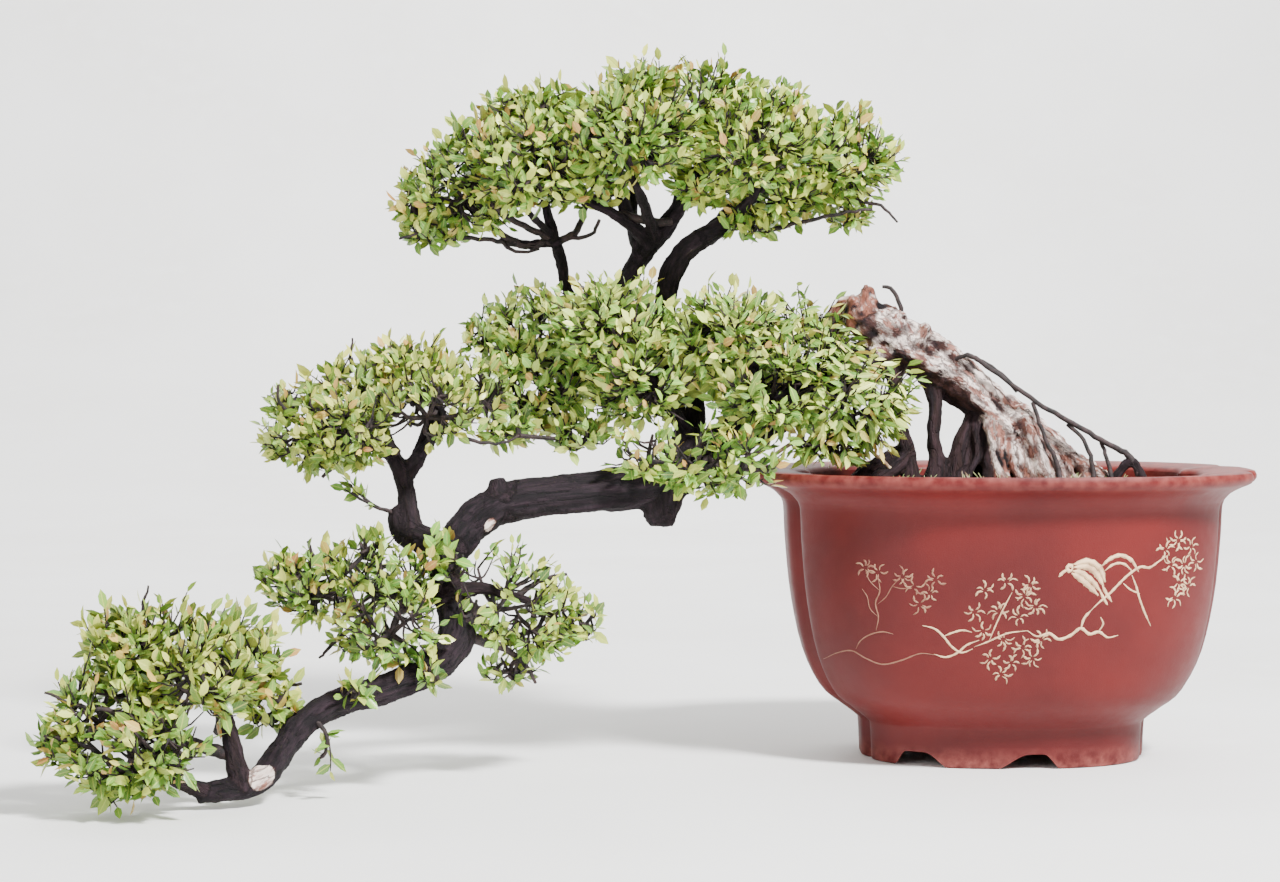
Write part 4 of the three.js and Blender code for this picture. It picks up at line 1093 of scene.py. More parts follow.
@dataclass
class SlipPicture:
    """The picture on the pot's front: hills, a gnarled branch with blossoms, and a perching bird."""

    proud: float = 0.22
    sunk: float = 0.35
    petal_mm: float = 5.6
    pace_mm: float = 1.3
    seed: int = 31

    def stroke(self, wall: BVHTree, width: float, places: Rows, faint_and_shadow: float, sink: Gathering) -> None:
        """Lays one brush stroke on the wall, tapered at both ends.

        Args:
            wall: the pot's surface.
            width: the stroke's width in millimetres.
            places: places along X and Z that it runs through.
            faint_and_shadow: how much clay shows through, 0 to 1, for thin slip and for painted shadow.
            sink: where the stroke goes.
        """
        line, _ = drawn(places, self.pace_mm, 4)
        found = [wall.ray_cast(Vector(in_frame((x, -200.0, z))), Vector((0, 1, 0))) for x, z in line]
        points, normals = (np.array([hit[k][:] for hit in found]) for k in range(2))
        sides = unit(np.cross(normals, np.gradient(points, axis=0)))
        t = np.linspace(0, 1, len(line))
        half = width / 2 * MM * np.minimum(1, 0.25 + 3.2 * np.minimum(t, 1 - t))
        half *= 1 + 0.16 * np.sin(np.arange(len(line)) * 2.1 + width)
        section = [points + sides * half[:, None], points + normals * self.proud * MM,
                   points - sides * half[:, None], points - normals * self.sunk * MM]
        ring = np.stack(section, axis=1).reshape(-1, 3)
        last = len(ring) - 4
        ends = [[3, 2, 1, 0], [last, last + 1, last + 2, last + 3]]
        marks = np.tile([faint_and_shadow, 0.5, 0.0, 1.0], (len(ring), 1))
        sink.add(ring, fours=np.vstack([skin(len(line), 4), ends]), marks=marks)

    def blossom(self, wall: BVHTree, x: float, z: float, faint_and_shadow: float, draw: random.Random,
                sink: Gathering) -> None:
        """Draws a spray of slim petals round a place.

        Args:
            wall: the pot's surface.
            x, z: the blossom's middle in millimetres.
            faint_and_shadow: how much clay shows through its strongest petal, for thin slip and for painted
                shadow.
            draw: the seeded draw.
            sink: where the strokes go.
        """
        petals = draw.randint(6, 8)
        turn_by = draw.uniform(0, 6)
        for k in range(petals):
            angle = turn_by + 2 * math.pi * k / petals + draw.uniform(-0.25, 0.25)
            reach = self.petal_mm * draw.uniform(0.75, 1.15)
            bow = draw.choice((-0.32, 0.32))
            places = [(x + r * reach * math.cos(angle + b), z + r * reach * math.sin(angle + b))
                      for r, b in ((0.22, 0.0), (0.62, bow), (1.0, 0.0))]
            self.stroke(wall, draw.uniform(0.7, 1.25), places, faint_and_shadow + draw.uniform(0, 0.25), sink)

    def build(self, pot: Object) -> None:
        """Draws the picture on the finished pot."""
        draw = random.Random(self.seed)
        wall = BVHTree.FromPolygons([v.co for v in pot.data.vertices], [p.vertices for p in pot.data.polygons])
        sink = Gathering()
        # The hills and the blossoms left of x 20 are fainter, partly thin slip and partly painted shadow over
        # the picture's left side.
        for strokes, faint_and_shadow in ((PALE_HILLS, 0.84), (BRANCHWORK, 0.12), (BIRD, 0.0)):
            for width, places in strokes:
                self.stroke(wall, width, places, faint_and_shadow, sink)
        sprays = [(x, z, 0.36 if x < 20 else 0.1) for x, z in BLOSSOMS] + [(x, z, 0.66) for x, z in FAINT]
        for x, z, faint_and_shadow in sprays:
            self.blossom(wall, x, z, faint_and_shadow, draw, sink)
        picture = sink.to_object("slip_picture", SLIP)
        face_outward(picture)
        hand_over(picture, "clay")


@dataclass(frozen=True)
class Grains:
    """Many copies of one lumpy grain that lie on the soil as one piece; sizes are in millimetres."""

    name: str
    finish: GroundFinish
    count: int
    sizes: tuple[float, float]
    subdivisions: int
    flatness: float
    rough: float
    lumps_at: float
    buried: float
    near: float
    seed: int

    def model(self) -> tuple[np.ndarray, np.ndarray]:
        """Models the grain once.

        Returns:
            Its points, about 1 across, and its triangles.
        """
        bpy.ops.mesh.primitive_ico_sphere_add(subdivisions=self.subdivisions, radius=0.5)
        grain = bpy.context.object
        for vertex in grain.data.vertices:
            vertex.co *= 1 + self.rough * noise.noise(vertex.co * 2.6 + Vector((5, self.lumps_at, 1)))
            vertex.co.z *= self.flatness
        points = np.array([v.co[:] for v in grain.data.vertices])
        faces = np.array([p.vertices[:] for p in grain.data.polygons])
        bpy.data.objects.remove(grain, do_unlink=True)
        return points, faces


@dataclass
class SoilBed:
    """The soil with its uneven top, grit grains, moss cushions, moss shoots and grass."""

    sides: int = 168
    wall: Rows = ((78, 26.4), (95.4, 42.8), (102.4, 62), (106, 88), (108.4, 120), (109, 141))
    flat_mm: float = 141.4
    flat_from_mm: float = 141.2
    crown_mm: float = 149.2
    edge_mm: float = 142.2
    strewn_mm: float = 107.0
    moss_mm: float = 106.0
    shoots: int = 5200
    tufts: int = 58
    grains: tuple[Grains, ...] = (
        Grains("grit", GRIT, 620, (1.2, 3.4), 1, 0.75, 0.5, 5, 0.35, 0.97, 41),
        Grains("moss_cushions", MOSS, 46, (7, 17), 3, 0.42, 0.45, 7, 0.3, 0.8, 42),
    )

    def top(self, x: float, y: float) -> float:
        """Gives the height of the soil at a place."""
        share = min(1.0, reach_share(x, y, self.wall[-1][0]))
        level = self.crown_mm + (self.edge_mm - self.crown_mm) * share**2.4
        clods = cloud(x, y, 0.09, 3) * 1.5 + cloud(x, y, 0.3, 8) * 0.8
        return level + clods * (1 - share**8)

    def bed(self) -> None:
        """Makes the body of soil."""
        rings = [(float(reach), self.flat_mm) for reach in np.linspace(107.5, 3, 52)]
        body = turn("soil_bed", [*self.wall, *rings], self.sides)
        for vertex in body.data.vertices:
            if vertex.co.z > self.flat_from_mm * MM:
                vertex.co.z = self.top(vertex.co.x / MM, vertex.co.y / MM) * MM
        settle(body, SOIL, 50)
        hand_over(body, "soil", "soil")

    def scatter(self, kind: Grains) -> None:
        """Sets the copies of one kind of grain on the soil."""
        draw = random.Random(kind.seed)
        points, faces = kind.model()
        sink = Gathering()
        for _ in range(kind.count):
            angle, share = draw.uniform(0, 2 * math.pi), math.sqrt(draw.random()) * kind.near
            reach = self.strewn_mm * outline(angle) * share
            x, y = reach * math.cos(angle), reach * math.sin(angle)
            size = draw.uniform(*kind.sizes)
            spin, stretch = draw.uniform(0, 6.28), draw.uniform(0.75, 1.3)
            c, s = math.cos(spin), math.sin(spin)
            turned = points @ np.array([[c * stretch, s * stretch, 0], [-s, c, 0], [0, 0, 1]]) * size
            low = float(turned[:, 2].min())
            sink.add(in_frame(turned + (x, y, self.top(x, y) - low - size * kind.buried)), faces)
        piece = sink.to_object(kind.name, kind.finish)
        smooth(piece, 60)
        hand_over(piece, "soil")

    def moss_blades(self, seed: int) -> None:
        """Sets short moss shoots over the cushions' ground, near the trunk and the rim."""
        draw = random.Random(seed)
        sink = Gathering()
        blade = np.array([[0.32, 0, -0.2], [-0.16, 0.28, -0.2], [-0.16, -0.28, -0.2], [0.1, 0.04, 1.0]])
        while len(sink.points) < self.shoots:
            x, y = step(draw, (-100, 100), (-80, 80))
            if cloud(x, y, 0.055, 21) < 0.08 or reach_share(x, y, self.moss_mm) > 1:
                continue
            size = draw.uniform(1.0, 2.3)
            lean = np.array([*step(draw, (-0.5, 0.5), (-0.5, 0.5)), 0])
            shoot = blade * np.array([0.62, 0.62, 1]) * size
            shoot = shoot + lean * np.maximum(shoot[:, 2:3], 0)
            sink.add(in_frame(shoot + (x, y, self.top(x, y))), [[0, 1, 3], [1, 2, 3], [2, 0, 3], [0, 2, 1]])
        hand_over(sink.to_object("moss_shoots", MOSS), "soil")

    def foot_grass(self, seed: int) -> None:
        """Sets small tufts of grass and dry litter round the trunk's foot."""
        draw = random.Random(seed)
        sink = Gathering()
        for _ in range(self.tufts):
            x, y = draw.uniform(-62, 88), draw.choice((-1, -1, 1)) * draw.uniform(10, 42)
            dry = draw.random() < 0.4
            for _ in range(draw.randint(4, 8)):
                root = np.array([*(step(draw, (-3, 3), (-3, 3)) + (x, y)), 0.0])
                root[2] = self.top(root[0], root[1]) - 0.8
                lean = np.array([*step(draw, (-1, 1), (-1, 1)), 0.0])
                tall = draw.uniform(3, 9)
                line = [root + lean * tall * t**2 * 0.6 + (0, 0, tall * t) for t in (0, 0.35, 0.7, 1.0)]
                sink.tube(line, (0.42, 0.4, 0.3, 0.08), 3, slot=int(dry))
        hand_over(sink.to_object("foot_grass", GRASS, STRAW), "soil")

    def build(self) -> None:
        """Makes the soil and all that lies on it."""
        self.bed()
        for kind in self.grains:
            self.scatter(kind)
        self.moss_blades(43)
        self.foot_grass(44)


# The wood

class Sample(NamedTuple):
    """One place of the skeleton, in millimetres, with its frame and what the bark needs of it."""

    place: np.ndarray
    tangent: np.ndarray
    normal: np.ndarray
    binormal: np.ndarray
    run: float
    radius: float
    pale: float
    raw: float


def rows_of(values: object, key: str) -> np.ndarray:
    """Reads a vector of each element of a mesh as rows."""
    flat = np.empty(len(values) * 3)
    values.foreach_get(key, flat)
    return flat.reshape(-1, 3)


@dataclass
class Tree:
    """Trunk, roots, limb, stems and branches, with ridged and flaking bark."""

    voxel_m: float = 0.00135
    sides: int = 18
    ridges: float = 0.075
    grain_stretch: float = 0.2
    pale_stretch: float = 0.28
    ridge_mm: float = 0.7
    flake_mm: float = 0.5
    crag_mm: float = 1.5
    hollow_mm: float = 1.6
    ridge_scale: float = 0.34
    flake_scale: float = 0.9
    crag_scale: float = 0.19
    skin_pace_mm: float = 2.4
    guide_pace_mm: float = 3.0
    thinnest_mm: float = 0.6
    neighbours: int = 4
    front_roots: int = 20
    back_roots: int = 10
    shade_roots: int = 15

    def fan_roots(self) -> Table:
        """Draws the many slim roots that run down the trunk's foot into the soil."""
        draw = random.Random(7)
        roots = {}
        for k in range(self.front_roots + self.back_roots):
            front = k < self.front_roots
            side = -1 if front else 1
            share = k / (self.front_roots - 1) if front else (k - self.front_roots) / (self.back_roots - 1)
            x = -8 + 74 * share + draw.uniform(-3, 3)
            level = 189 - 0.68 * (x + 8)
            run = draw.uniform(6, 20)
            out = draw.uniform(20, 34)
            drop = level - GROUND
            roots[f"fan_{k}"] = (
                (x, side * 7, level, 3.2),
                (x + run * 0.3 + draw.uniform(-2, 2), side * 15, level - drop * 0.2, draw.uniform(2, 3)),
                (x + run * 0.6 + draw.uniform(-3, 3), side * (12 + out * 0.4), level - drop * 0.5,
                 draw.uniform(1.5, 2.6)),
                (x + run * 0.85 + draw.uniform(-3, 3), side * (13 + out * 0.6), level - drop * 0.78,
                 draw.uniform(1.6, 2.6)),
                (x + run, side * (14 + out * 0.75), GROUND, draw.uniform(2.6, 4)),
            )
        return roots

    def dark_roots(self) -> Table:
        """Draws the tangle of roots in the shade under the trunk."""
        draw = random.Random(8)
        roots = {}
        for k in range(self.shade_roots):
            x = -19 + k * 1.5 + draw.uniform(-1.5, 1.5)
            y = draw.uniform(-24, -9) if k % 3 else draw.uniform(4, 16)
            level = 186 - 0.62 * (x + 20)
            roots[f"tangle_{k}"] = (
                (x + 5, y * 0.25, level + 6, 3.4),
                (x + draw.uniform(0, 5), y * 0.6, level - 8, draw.uniform(1.6, 2.6)),
                (x + draw.uniform(-3, 4), y * 0.8, 164, draw.uniform(1.7, 3)),
                (x + draw.uniform(-5, 4), y, 152, draw.uniform(2.2, 4)),
                (x + draw.uniform(-5, 4), y * 1.05, GROUND, 4.8),
            )
        return roots

    def paleness(self) -> list[tuple[Table, float, float]]:
        """Lists the parts of the skeleton, each with how bleached and how raw its wood is; the legs and the
        tangle under the trunk get almost none, which keeps them dark as painted shade.
        """
        return [(TRUNK, 1.0, 0.1), (CORDS, 1.0, 0.15), (STUMP, 0.66, 0.9), (self.fan_roots(), 0.88, 0.35),
                (self.dark_roots(), 0.0, 0.05), (LEGS, 0.02, 0.05), (ROOTS, 0.62, 0.35),
                (FINE_ROOTS, 0.05, 0.0), (LIMB, 0.0, 0.0), (STUBS, 0.02, 0.0), (STEMS, 0.04, 0.0),
                (BRANCHES, 0.05, 0.0)]

    def limb_skin(self, sink: Gathering, stations: Rows, seed: int) -> None:
        """Adds one ridged, knotty tube of the skeleton.

        Args:
            sink: where the tube goes.
            stations: its places and radii.
            seed: what its twist and knots are drawn from.
        """
        draw = random.Random(seed)
        line, length = drawn(stations, self.skin_pace_mm, 6)
        radii = np.maximum(line[:, 3], self.thinnest_mm)
        turn_by, phase = draw.uniform(-0.03, 0.03), draw.uniform(0, 6)
        angles = np.linspace(0, 2 * math.pi, self.sides, endpoint=False)
        along = np.linspace(0, length, len(line))
        shape = np.full((len(line), self.sides), 0.96)
        for lobes, share in ((3, 1.0), (5, 0.7), (8, 0.45)):
            swirl = lobes * angles[None] + phase * lobes + along[:, None] * turn_by * lobes
            shape += self.ridges * share * np.sin(swirl + np.sin(along / 17 + phase)[:, None] * 1.6)
        knots = np.array([noise.noise(Vector((a / 11 + seed, phase, 0))) for a in along])
        shape *= 1 + 0.12 * knots[:, None]
        slim = np.clip((radii - 1.5) / 5, 0, 1)[:, None]
        sink.tube(line[:, :3], radii, self.sides, shape=1 + (shape - 1) * (0.35 + 0.65 * slim))

    def guides(self) -> tuple[kdtree.KDTree, list[Sample]]:
        """Samples the skeleton for the bark.

        Returns:
            A tree of the samples' places, and the samples.
        """
        samples: list[Sample] = []
        for group, pale, raw in self.paleness():
            for stations in group.values():
                line, length = drawn(stations, self.guide_pace_mm, 3)
                runs = len(samples) * 7.3 + length * np.arange(len(line)) / (len(line) - 1)
                for row, run, *axes in zip(line, runs, *moving_frames(line[:, :3])):
                    samples.append(Sample(row[:3], *axes, run, row[3], pale, raw))
        tree = kdtree.KDTree(len(samples))
        for k, sample in enumerate(samples):
            tree.insert(Vector(sample.place), k)
        tree.balance()
        return tree, samples

    def bark(self, spot: np.ndarray, up: float, near: list[tuple], samples: list[Sample]) -> tuple[float, ...]:
        """Works out the bark at one place of the surface.

        Args:
            spot: the place, in millimetres.
            up: how far the surface faces up there.
            near: the closest samples, as the tree finds them.
            samples: the skeleton's samples.

        Returns:
            How far the surface moves out in millimetres, three growth marks, and the grain's place.
        """
        own = samples[near[0][1]]
        aside = spot - own.place
        stretch = self.grain_stretch + self.pale_stretch * own.pale
        lengthwise = (own.run + float(aside @ own.tangent)) * stretch
        grain = Vector((float(aside @ own.normal), float(aside @ own.binormal), lengthwise))
        weights = [1 / (max(0.0, gap - samples[k].radius) + 0.8) for _, k, gap in near]
        pale = sum(w * samples[k].pale for w, (_, k, _) in zip(weights, near)) / sum(weights)
        ridge = noise.noise(grain * self.ridge_scale)
        flake = noise.noise(grain * self.flake_scale + Vector((9, 0, 0)))
        crag = noise.noise(Vector(spot) * self.crag_scale) * self.crag_mm * (0.3 + 0.7 * pale)
        stain = noise.noise(Vector(spot) * 0.05) + 0.8 * noise.noise(Vector(spot) * 0.16)
        # The hollows, on the front only, are pushed in and darkened with painted shade.
        hollow = wave(-spot[1], -1.0, 3.0) * self.hollow(spot, 2.4 * stain)
        push = self.ridge_mm * (0.3 + wave(own.radius, 1.0, 8.0)) * ridge + self.flake_mm * flake + crag
        # Painted light: the bark turns paler where it faces up, and a little paler from x -30 rightwards.
        level = 0.45 + 0.12 * wave(spot[0], -30, 0)
        lit = wave(level + 0.8 * up + (0.5 + 1.1 * own.raw) * stain, 0.0, 1.0) * (1 - 0.9 * hollow)
        low = wave(-spot[2], -170, -152) * min(1.0, own.pale)
        scar = max(wave(reach + 2 * stain - math.dist(spot, (x, y, z)), 0.0, 1.2) for x, y, z, reach in SCARS)
        # Painted shade: the grooves that the ridges push in, and the hollows, are marked to turn darker.
        painted_groove_shade = max(wave(-ridge, 0.05, 0.45) * (1 - scar), hollow)
        rust = max(min(1.0, own.raw + 0.5 * low) * (1 - hollow), 0.5 * scar)
        # The red mark joins bleached bark, the painted light from above and the pale raw scars.
        bleach_and_painted_light = max(pale * lit * (1 - 0.4 * low), 1.4 * scar)
        return push - self.hollow_mm * hollow, bleach_and_painted_light, painted_groove_shade, rust, *grain

    def roughen(self, wood: Object) -> None:
        """Pushes the joined surface in and out along its grain and marks it."""
        tree, samples = self.guides()
        mesh = wood.data
        places, normals = rows_of(mesh.vertices, "co"), rows_of(mesh.vertex_normals, "vector")
        found = np.array([self.bark(spot, float(normal[2]), tree.find_n(Vector(spot), self.neighbours), samples)
                          for spot, normal in zip((places - AXIS) / MM, normals)])
        marks = np.column_stack([found[:, 1:4], np.ones(len(found))])
        mesh.vertices.foreach_set("co", (places + normals * found[:, :1] * MM).ravel())
        mesh.attributes.new("growth", "FLOAT_COLOR", "POINT").data.foreach_set("color", marks.ravel())
        mesh.attributes.new("grain", "FLOAT_VECTOR", "POINT").data.foreach_set("vector", found[:, 4:].ravel())
        mesh.update()

    def hollow(self, spot: np.ndarray, ragged: float) -> float:
        """Says how far a place lies in one of the hollows, which are darkened with painted shade.

        Args:
            spot: the place, in millimetres.
            ragged: what the hollows' edge is moved by here, in millimetres.

        Returns:
            0 outside to 1 well inside.
        """
        inside = 0.0
        for x, z, reach, drawn_out in HOLLOWS:
            up = spot[2] - z
            aside = spot[0] - x + 0.4 * drawn_out * up
            gap = math.hypot(aside * (1 + 1.3 * drawn_out), up * (1 - 0.55 * drawn_out))
            inside = max(inside, wave(reach + ragged - gap, 0.0, 2.6))
        return inside

    def build(self) -> None:
        """Joins the skeleton into one skin and dresses it."""
        sink = Gathering()
        for seed, stations in enumerate(s for group, _, _ in self.paleness() for s in group.values()):
            self.limb_skin(sink, stations, seed)
        wood = sink.to_object("tree_wood")
        wood.data.attributes.remove(wood.data.attributes["growth"])
        finish_with(wood, "REMESH", mode="VOXEL", voxel_size=self.voxel_m)
        self.roughen(wood)
        dress(wood, BARK)
        smooth(wood, 60)
        hand_over(wood, "bark", "wood")

    def build_fine(self) -> None:
        """Makes the fine dead wood and leaf-bearing twigs as slim tubes."""
        sink = Gathering()
        for seed, (name, stations) in enumerate(FINE_WOOD.items()):
            draw = random.Random(500 + seed)
            line, _ = drawn(stations, self.guide_pace_mm, 5)
            line[1:-1, :3] += np.array([jitter(draw, 0.5) for _ in line[1:-1]])
            sink.tube(line[:, :3], line[:, 3], 7, slot=int(name.startswith("pot_twig")))
        twigs = sink.to_object("fine_wood", TWIG, STRAW)
        smooth(twigs, 60)
        hand_over(twigs, "bark")


# The foliage

# A twig's pieces, the way between its leaves, and how far they stand off it at its side and its tip

TWIG_STEPS = 20
LEAF_PACE_MM = 3.3
SIDE_DEGREES = (38, 68)
TIP_DEGREES = (8, 26)

# Where along X the middle head's leaves begin to hang and hang most, and what leaves keep off the rim

MIDDLE_HANG = (-135, -95)
OVER_RIM = 159
ROUND_RIM = 140


@dataclass
class LeafPattern:
    """One leaf, modelled once: a pointed oval folded a little along its rib."""

    stations: Rows = ((0.0, 0.0), (0.3, 0.92), (0.66, 0.88), (1.0, 0.0))
    fold: float = 0.2
    thickness: float = 0.05

    def model(self) -> Pattern:
        """Shapes a grid into the leaf.

        Returns:
            Points with X along, Y across from -0.5 to 0.5 and Z up, its triangles, its quads, and
            the place across and along of each point.
        """
        columns = len(self.stations)
        bpy.ops.mesh.primitive_grid_add(x_subdivisions=columns - 1, y_subdivisions=2, size=1)
        leaf = bpy.context.object
        mesh = leaf.data
        start_editing(leaf, "DESELECT")
        edit = bmesh.from_edit_mesh(mesh)
        aside = 10
        for k, (along, width) in enumerate(self.stations):
            first = k / (columns - 1) - 0.5
            row = [v for v in edit.verts if abs(v.co.x - first) < 1e-4 and not v.select]
            for vertex in row:
                vertex.select = True
            bmesh.update_edit_mesh(mesh)
            bpy.ops.transform.resize(value=(1, max(width, 1e-4), 1), center_override=(first, 0, 0))
            for vertex in row:
                vertex.co.x = along + aside
                vertex.select = False
            bmesh.update_edit_mesh(mesh)
        for vertex in edit.verts:
            vertex.co.x -= aside
            vertex.co.z = self.fold * abs(vertex.co.y)
        bpy.ops.mesh.select_all(action="SELECT")
        bpy.ops.mesh.remove_doubles(threshold=1e-3)
        bpy.ops.mesh.duplicate()
        bpy.ops.mesh.flip_normals()
        edit = bmesh.from_edit_mesh(mesh)
        for vertex in edit.verts:
            if vertex.select and abs(vertex.co.y) < 1e-4 and 0.01 < vertex.co.x < 0.99:
                vertex.co.z -= self.thickness
        bpy.ops.mesh.select_all(action="SELECT")
        bpy.ops.mesh.remove_doubles(threshold=1e-3)
        bpy.ops.object.mode_set(mode="OBJECT")
        points = np.array([v.co[:] for v in mesh.vertices])
        threes, fours = (np.array([p.vertices[:] for p in mesh.polygons if len(p.vertices) == corners])
                         for corners in (3, 4))
        bpy.data.objects.remove(leaf, do_unlink=True)
        return points, threes, fours, np.stack([points[:, 1] * 2, points[:, 0]], -1)


def jitter(draw: random.Random, size: float) -> np.ndarray:
    """Draws a small random step."""
    return step(draw, *[(-size, size)] * 3)


def bowed(start: np.ndarray, end: np.ndarray, sway: np.ndarray, steps: int) -> np.ndarray:
    """Draws a line between two points that sways aside at its middle."""
    return catmull(np.array([start, (start + end) / 2 + sway, end]), steps)


def spread(count: int, draw: random.Random) -> list[np.ndarray]:
    """Spreads unit directions evenly over a sphere, from a random start.

    Args:
        count: how many.
        draw: the seeded draw.

    Returns:
        The directions.
    """
    golden = math.pi * (3 - math.sqrt(5))
    start = draw.uniform(0, 6)
    ways = []
    for i in range(count):
        z = 1 - 2 * (i + 0.5) / count
        r = math.sqrt(max(0.0, 1 - z * z))
        ways.append(unit(np.array([r * math.cos(golden * i + start), r * math.sin(golden * i + start), z])
                         + jitter(draw, 0.12)))
    return ways


def in_the_open(point: np.ndarray) -> float:
    """Gives the share of leaves that stay at a point, in millimetres, by the gaps it lies in."""
    swell = -EYE[1] / (point[1] - EYE[1])
    x, z = (EYE[k] + (point[k] - EYE[k]) * swell for k in (0, 2))
    return min([1.0, *(kept for middle_x, middle_z, wide, high, kept in OPENINGS
                       if ((x - middle_x) / wide) ** 2 + ((z - middle_z) / high) ** 2 < 1)])


def clear_of_pot(point: np.ndarray) -> bool:
    """Says whether a point, in millimetres, is clear of the pot and its rim."""
    return point[2] > OVER_RIM or reach_share(point[0], point[1], ROUND_RIM) > 1


def skeleton_points() -> np.ndarray:
    """Samples the wood that boughs may start from, in millimetres."""
    return np.vstack([catmull(np.array(stations, dtype=float), 4 * len(stations))[:, :3]
                      for table in (LIMB, STUBS, STEMS, BRANCHES, FINE_WOOD) for stations in table.values()])


class Density(Enum):
    """How thickly a head is leaved: area of its surface, in square millimetres, for each twig."""

    FULL = 75.0
    LOOSE = 76.0
    SPARSE = 108.0


@dataclass
class Head:
    """One head of foliage: boughs into its lobes, twigs out of the boughs, leaves along the twigs."""

    name: str
    density: Density
    finish: LeafFinish
    slot: str
    youth: float
    seed: int
    leaf_mm: float
    boughs_each: int = 7

    def lobe_rows(self) -> np.ndarray:
        """Gives the head's lobes as rows."""
        return np.array(LOBES[self.name] + TUFTS.get(self.name, ()), dtype=float)

    def depth(self, point: np.ndarray, lobe: np.ndarray) -> float:
        """Says how deep a point lies in a lobe: 0 at its middle, 1 at its reach."""
        return float(np.linalg.norm((point - lobe[:3]) / lobe[3:]))

    def boughs(self, lobe: np.ndarray, wood: np.ndarray, draw: random.Random, sink: Gathering) -> np.ndarray:
        """Leads boughs from the nearest wood into one lobe.

        Args:
            lobe: its middle and reach.
            wood: points of the skeleton.
            draw: the seeded draw.
            sink: where the tubes go.

        Returns:
            Points along the boughs that twigs may start from.
        """
        middle = lobe[:3]
        below = wood[wood[:, 2] < middle[2] + 8]
        start = below[np.argmin(np.linalg.norm(below - middle, axis=1))]
        hub = middle - np.array([0, 0, lobe[5] * 0.25])
        sites = []
        if np.linalg.norm(start - middle) > 4:
            line = bowed(start, hub, step(draw, (-3, 3), (-3, 3), (-3, 1)), 6)
            sink.tube(line, np.linspace(1.5, 1.1, 7), 6, slot=1)
            sites.extend(line[3:])
        stout = 1.0 if self.density is Density.FULL else 1.5
        for way in spread(self.boughs_each, draw):
            end = middle + way * lobe[3:] * draw.uniform(0.5, 0.66)
            line = bowed(hub, end, step(draw, (-2, 2), (-2, 2), (-4, 0)), 5)
            sink.tube(line, np.linspace(1.05, 0.5, 6) * stout, 4, slot=1)
            sites.extend(line[2:])
        return np.array(sites)

    def twig_ends(self, draw: random.Random) -> list[tuple[np.ndarray, np.ndarray, np.ndarray]]:
        """Spreads twig ends over the outside of the lobes, with some inside for depth.

        Args:
            draw: the seeded draw.

        Returns:
            For each twig its lobe, its direction out of the lobe, and its end.
        """
        lobes = self.lobe_rows()
        ends = []
        thin = 0.5 if self.density is Density.FULL else 0.8
        for number, lobe in enumerate(lobes):
            a, b, c = lobe[3:]
            area = 4 * math.pi * (((a * b) ** 1.6 + (a * c) ** 1.6 + (b * c) ** 1.6) / 3) ** (1 / 1.6)
            for way in spread(int(area / self.density.value), draw):
                lump = noise.noise(Vector(way * 1.7) + Vector((self.seed * 3.1, number * 1.7, 0)))
                if lump < -0.2 and draw.random() < thin:
                    continue
                out = draw.uniform(0.68, 0.9 if way[2] < 0.3 else 0.96) + 0.2 * lump
                end = lobe[:3] + way * lobe[3:] * out
                buried = any(self.depth(end, other) < 0.66 for other in lobes if other is not lobe)
                if buried and draw.random() > 0.12:
                    continue
                if end[2] > 4 and clear_of_pot(end) and draw.random() < in_the_open(end):
                    ends.append((lobe, way, end))
        return ends

    def build(self, pattern: Pattern, wood: np.ndarray) -> None:
        """Grows the head and puts it in its node's place.

        Args:
            pattern: the leaf from LeafPattern.model.
            wood: points of the skeleton.
        """
        draw = random.Random(self.seed)
        sink = Gathering()
        sites = np.vstack([self.boughs(lobe, wood, draw, sink) for lobe in self.lobe_rows()])
        leaves: list[tuple[float, ...]] = []
        for lobe, way, end in self.twig_ends(draw):
            inner = lobe[:3] + way * lobe[3:] * 0.45
            start = sites[np.argmin(np.linalg.norm(sites - inner, axis=1))]
            reach = float(np.linalg.norm(end - start))
            if way[2] > 0.1 and draw.random() < 0.08:
                end = end + (way * 0.5 + UP) * draw.uniform(2, 5)
            sag = draw.uniform(-3.5, 0.5) - 2.5 * (1 - abs(float(way[2])))
            sway = np.array([*step(draw, (-2, 2), (-2, 2)), sag])
            sink.tube(bowed(start, end, sway, 3), np.linspace(0.8, 0.36, 4), 3, slot=1)
            leaves.extend(self.twig_leaves(bowed(start, end, sway, TWIG_STEPS), way, reach, draw))
        self.finish_piece(leaves, pattern, sink, "foliage_" + self.name)

    def finish_piece(self, leaves: list[tuple[float, ...]], pattern: Pattern, sink: Gathering,
                     node: str) -> None:
        """Stamps the leaves and hands the piece over in its node's place.

        Args:
            leaves: rows from twig_leaves.
            pattern: the leaf from LeafPattern.model.
            sink: the twigs so far; the leaves go there too.
            node: the CAD node that the piece replaces.
        """
        self.stamp(leaves, pattern, sink)
        piece = sink.to_object("leaves_" + self.name, self.finish, TWIG)
        smooth(piece, 50)
        hand_over(piece, self.slot, node)
        LOG.info("%s: %d leaves", piece.name, len(leaves))

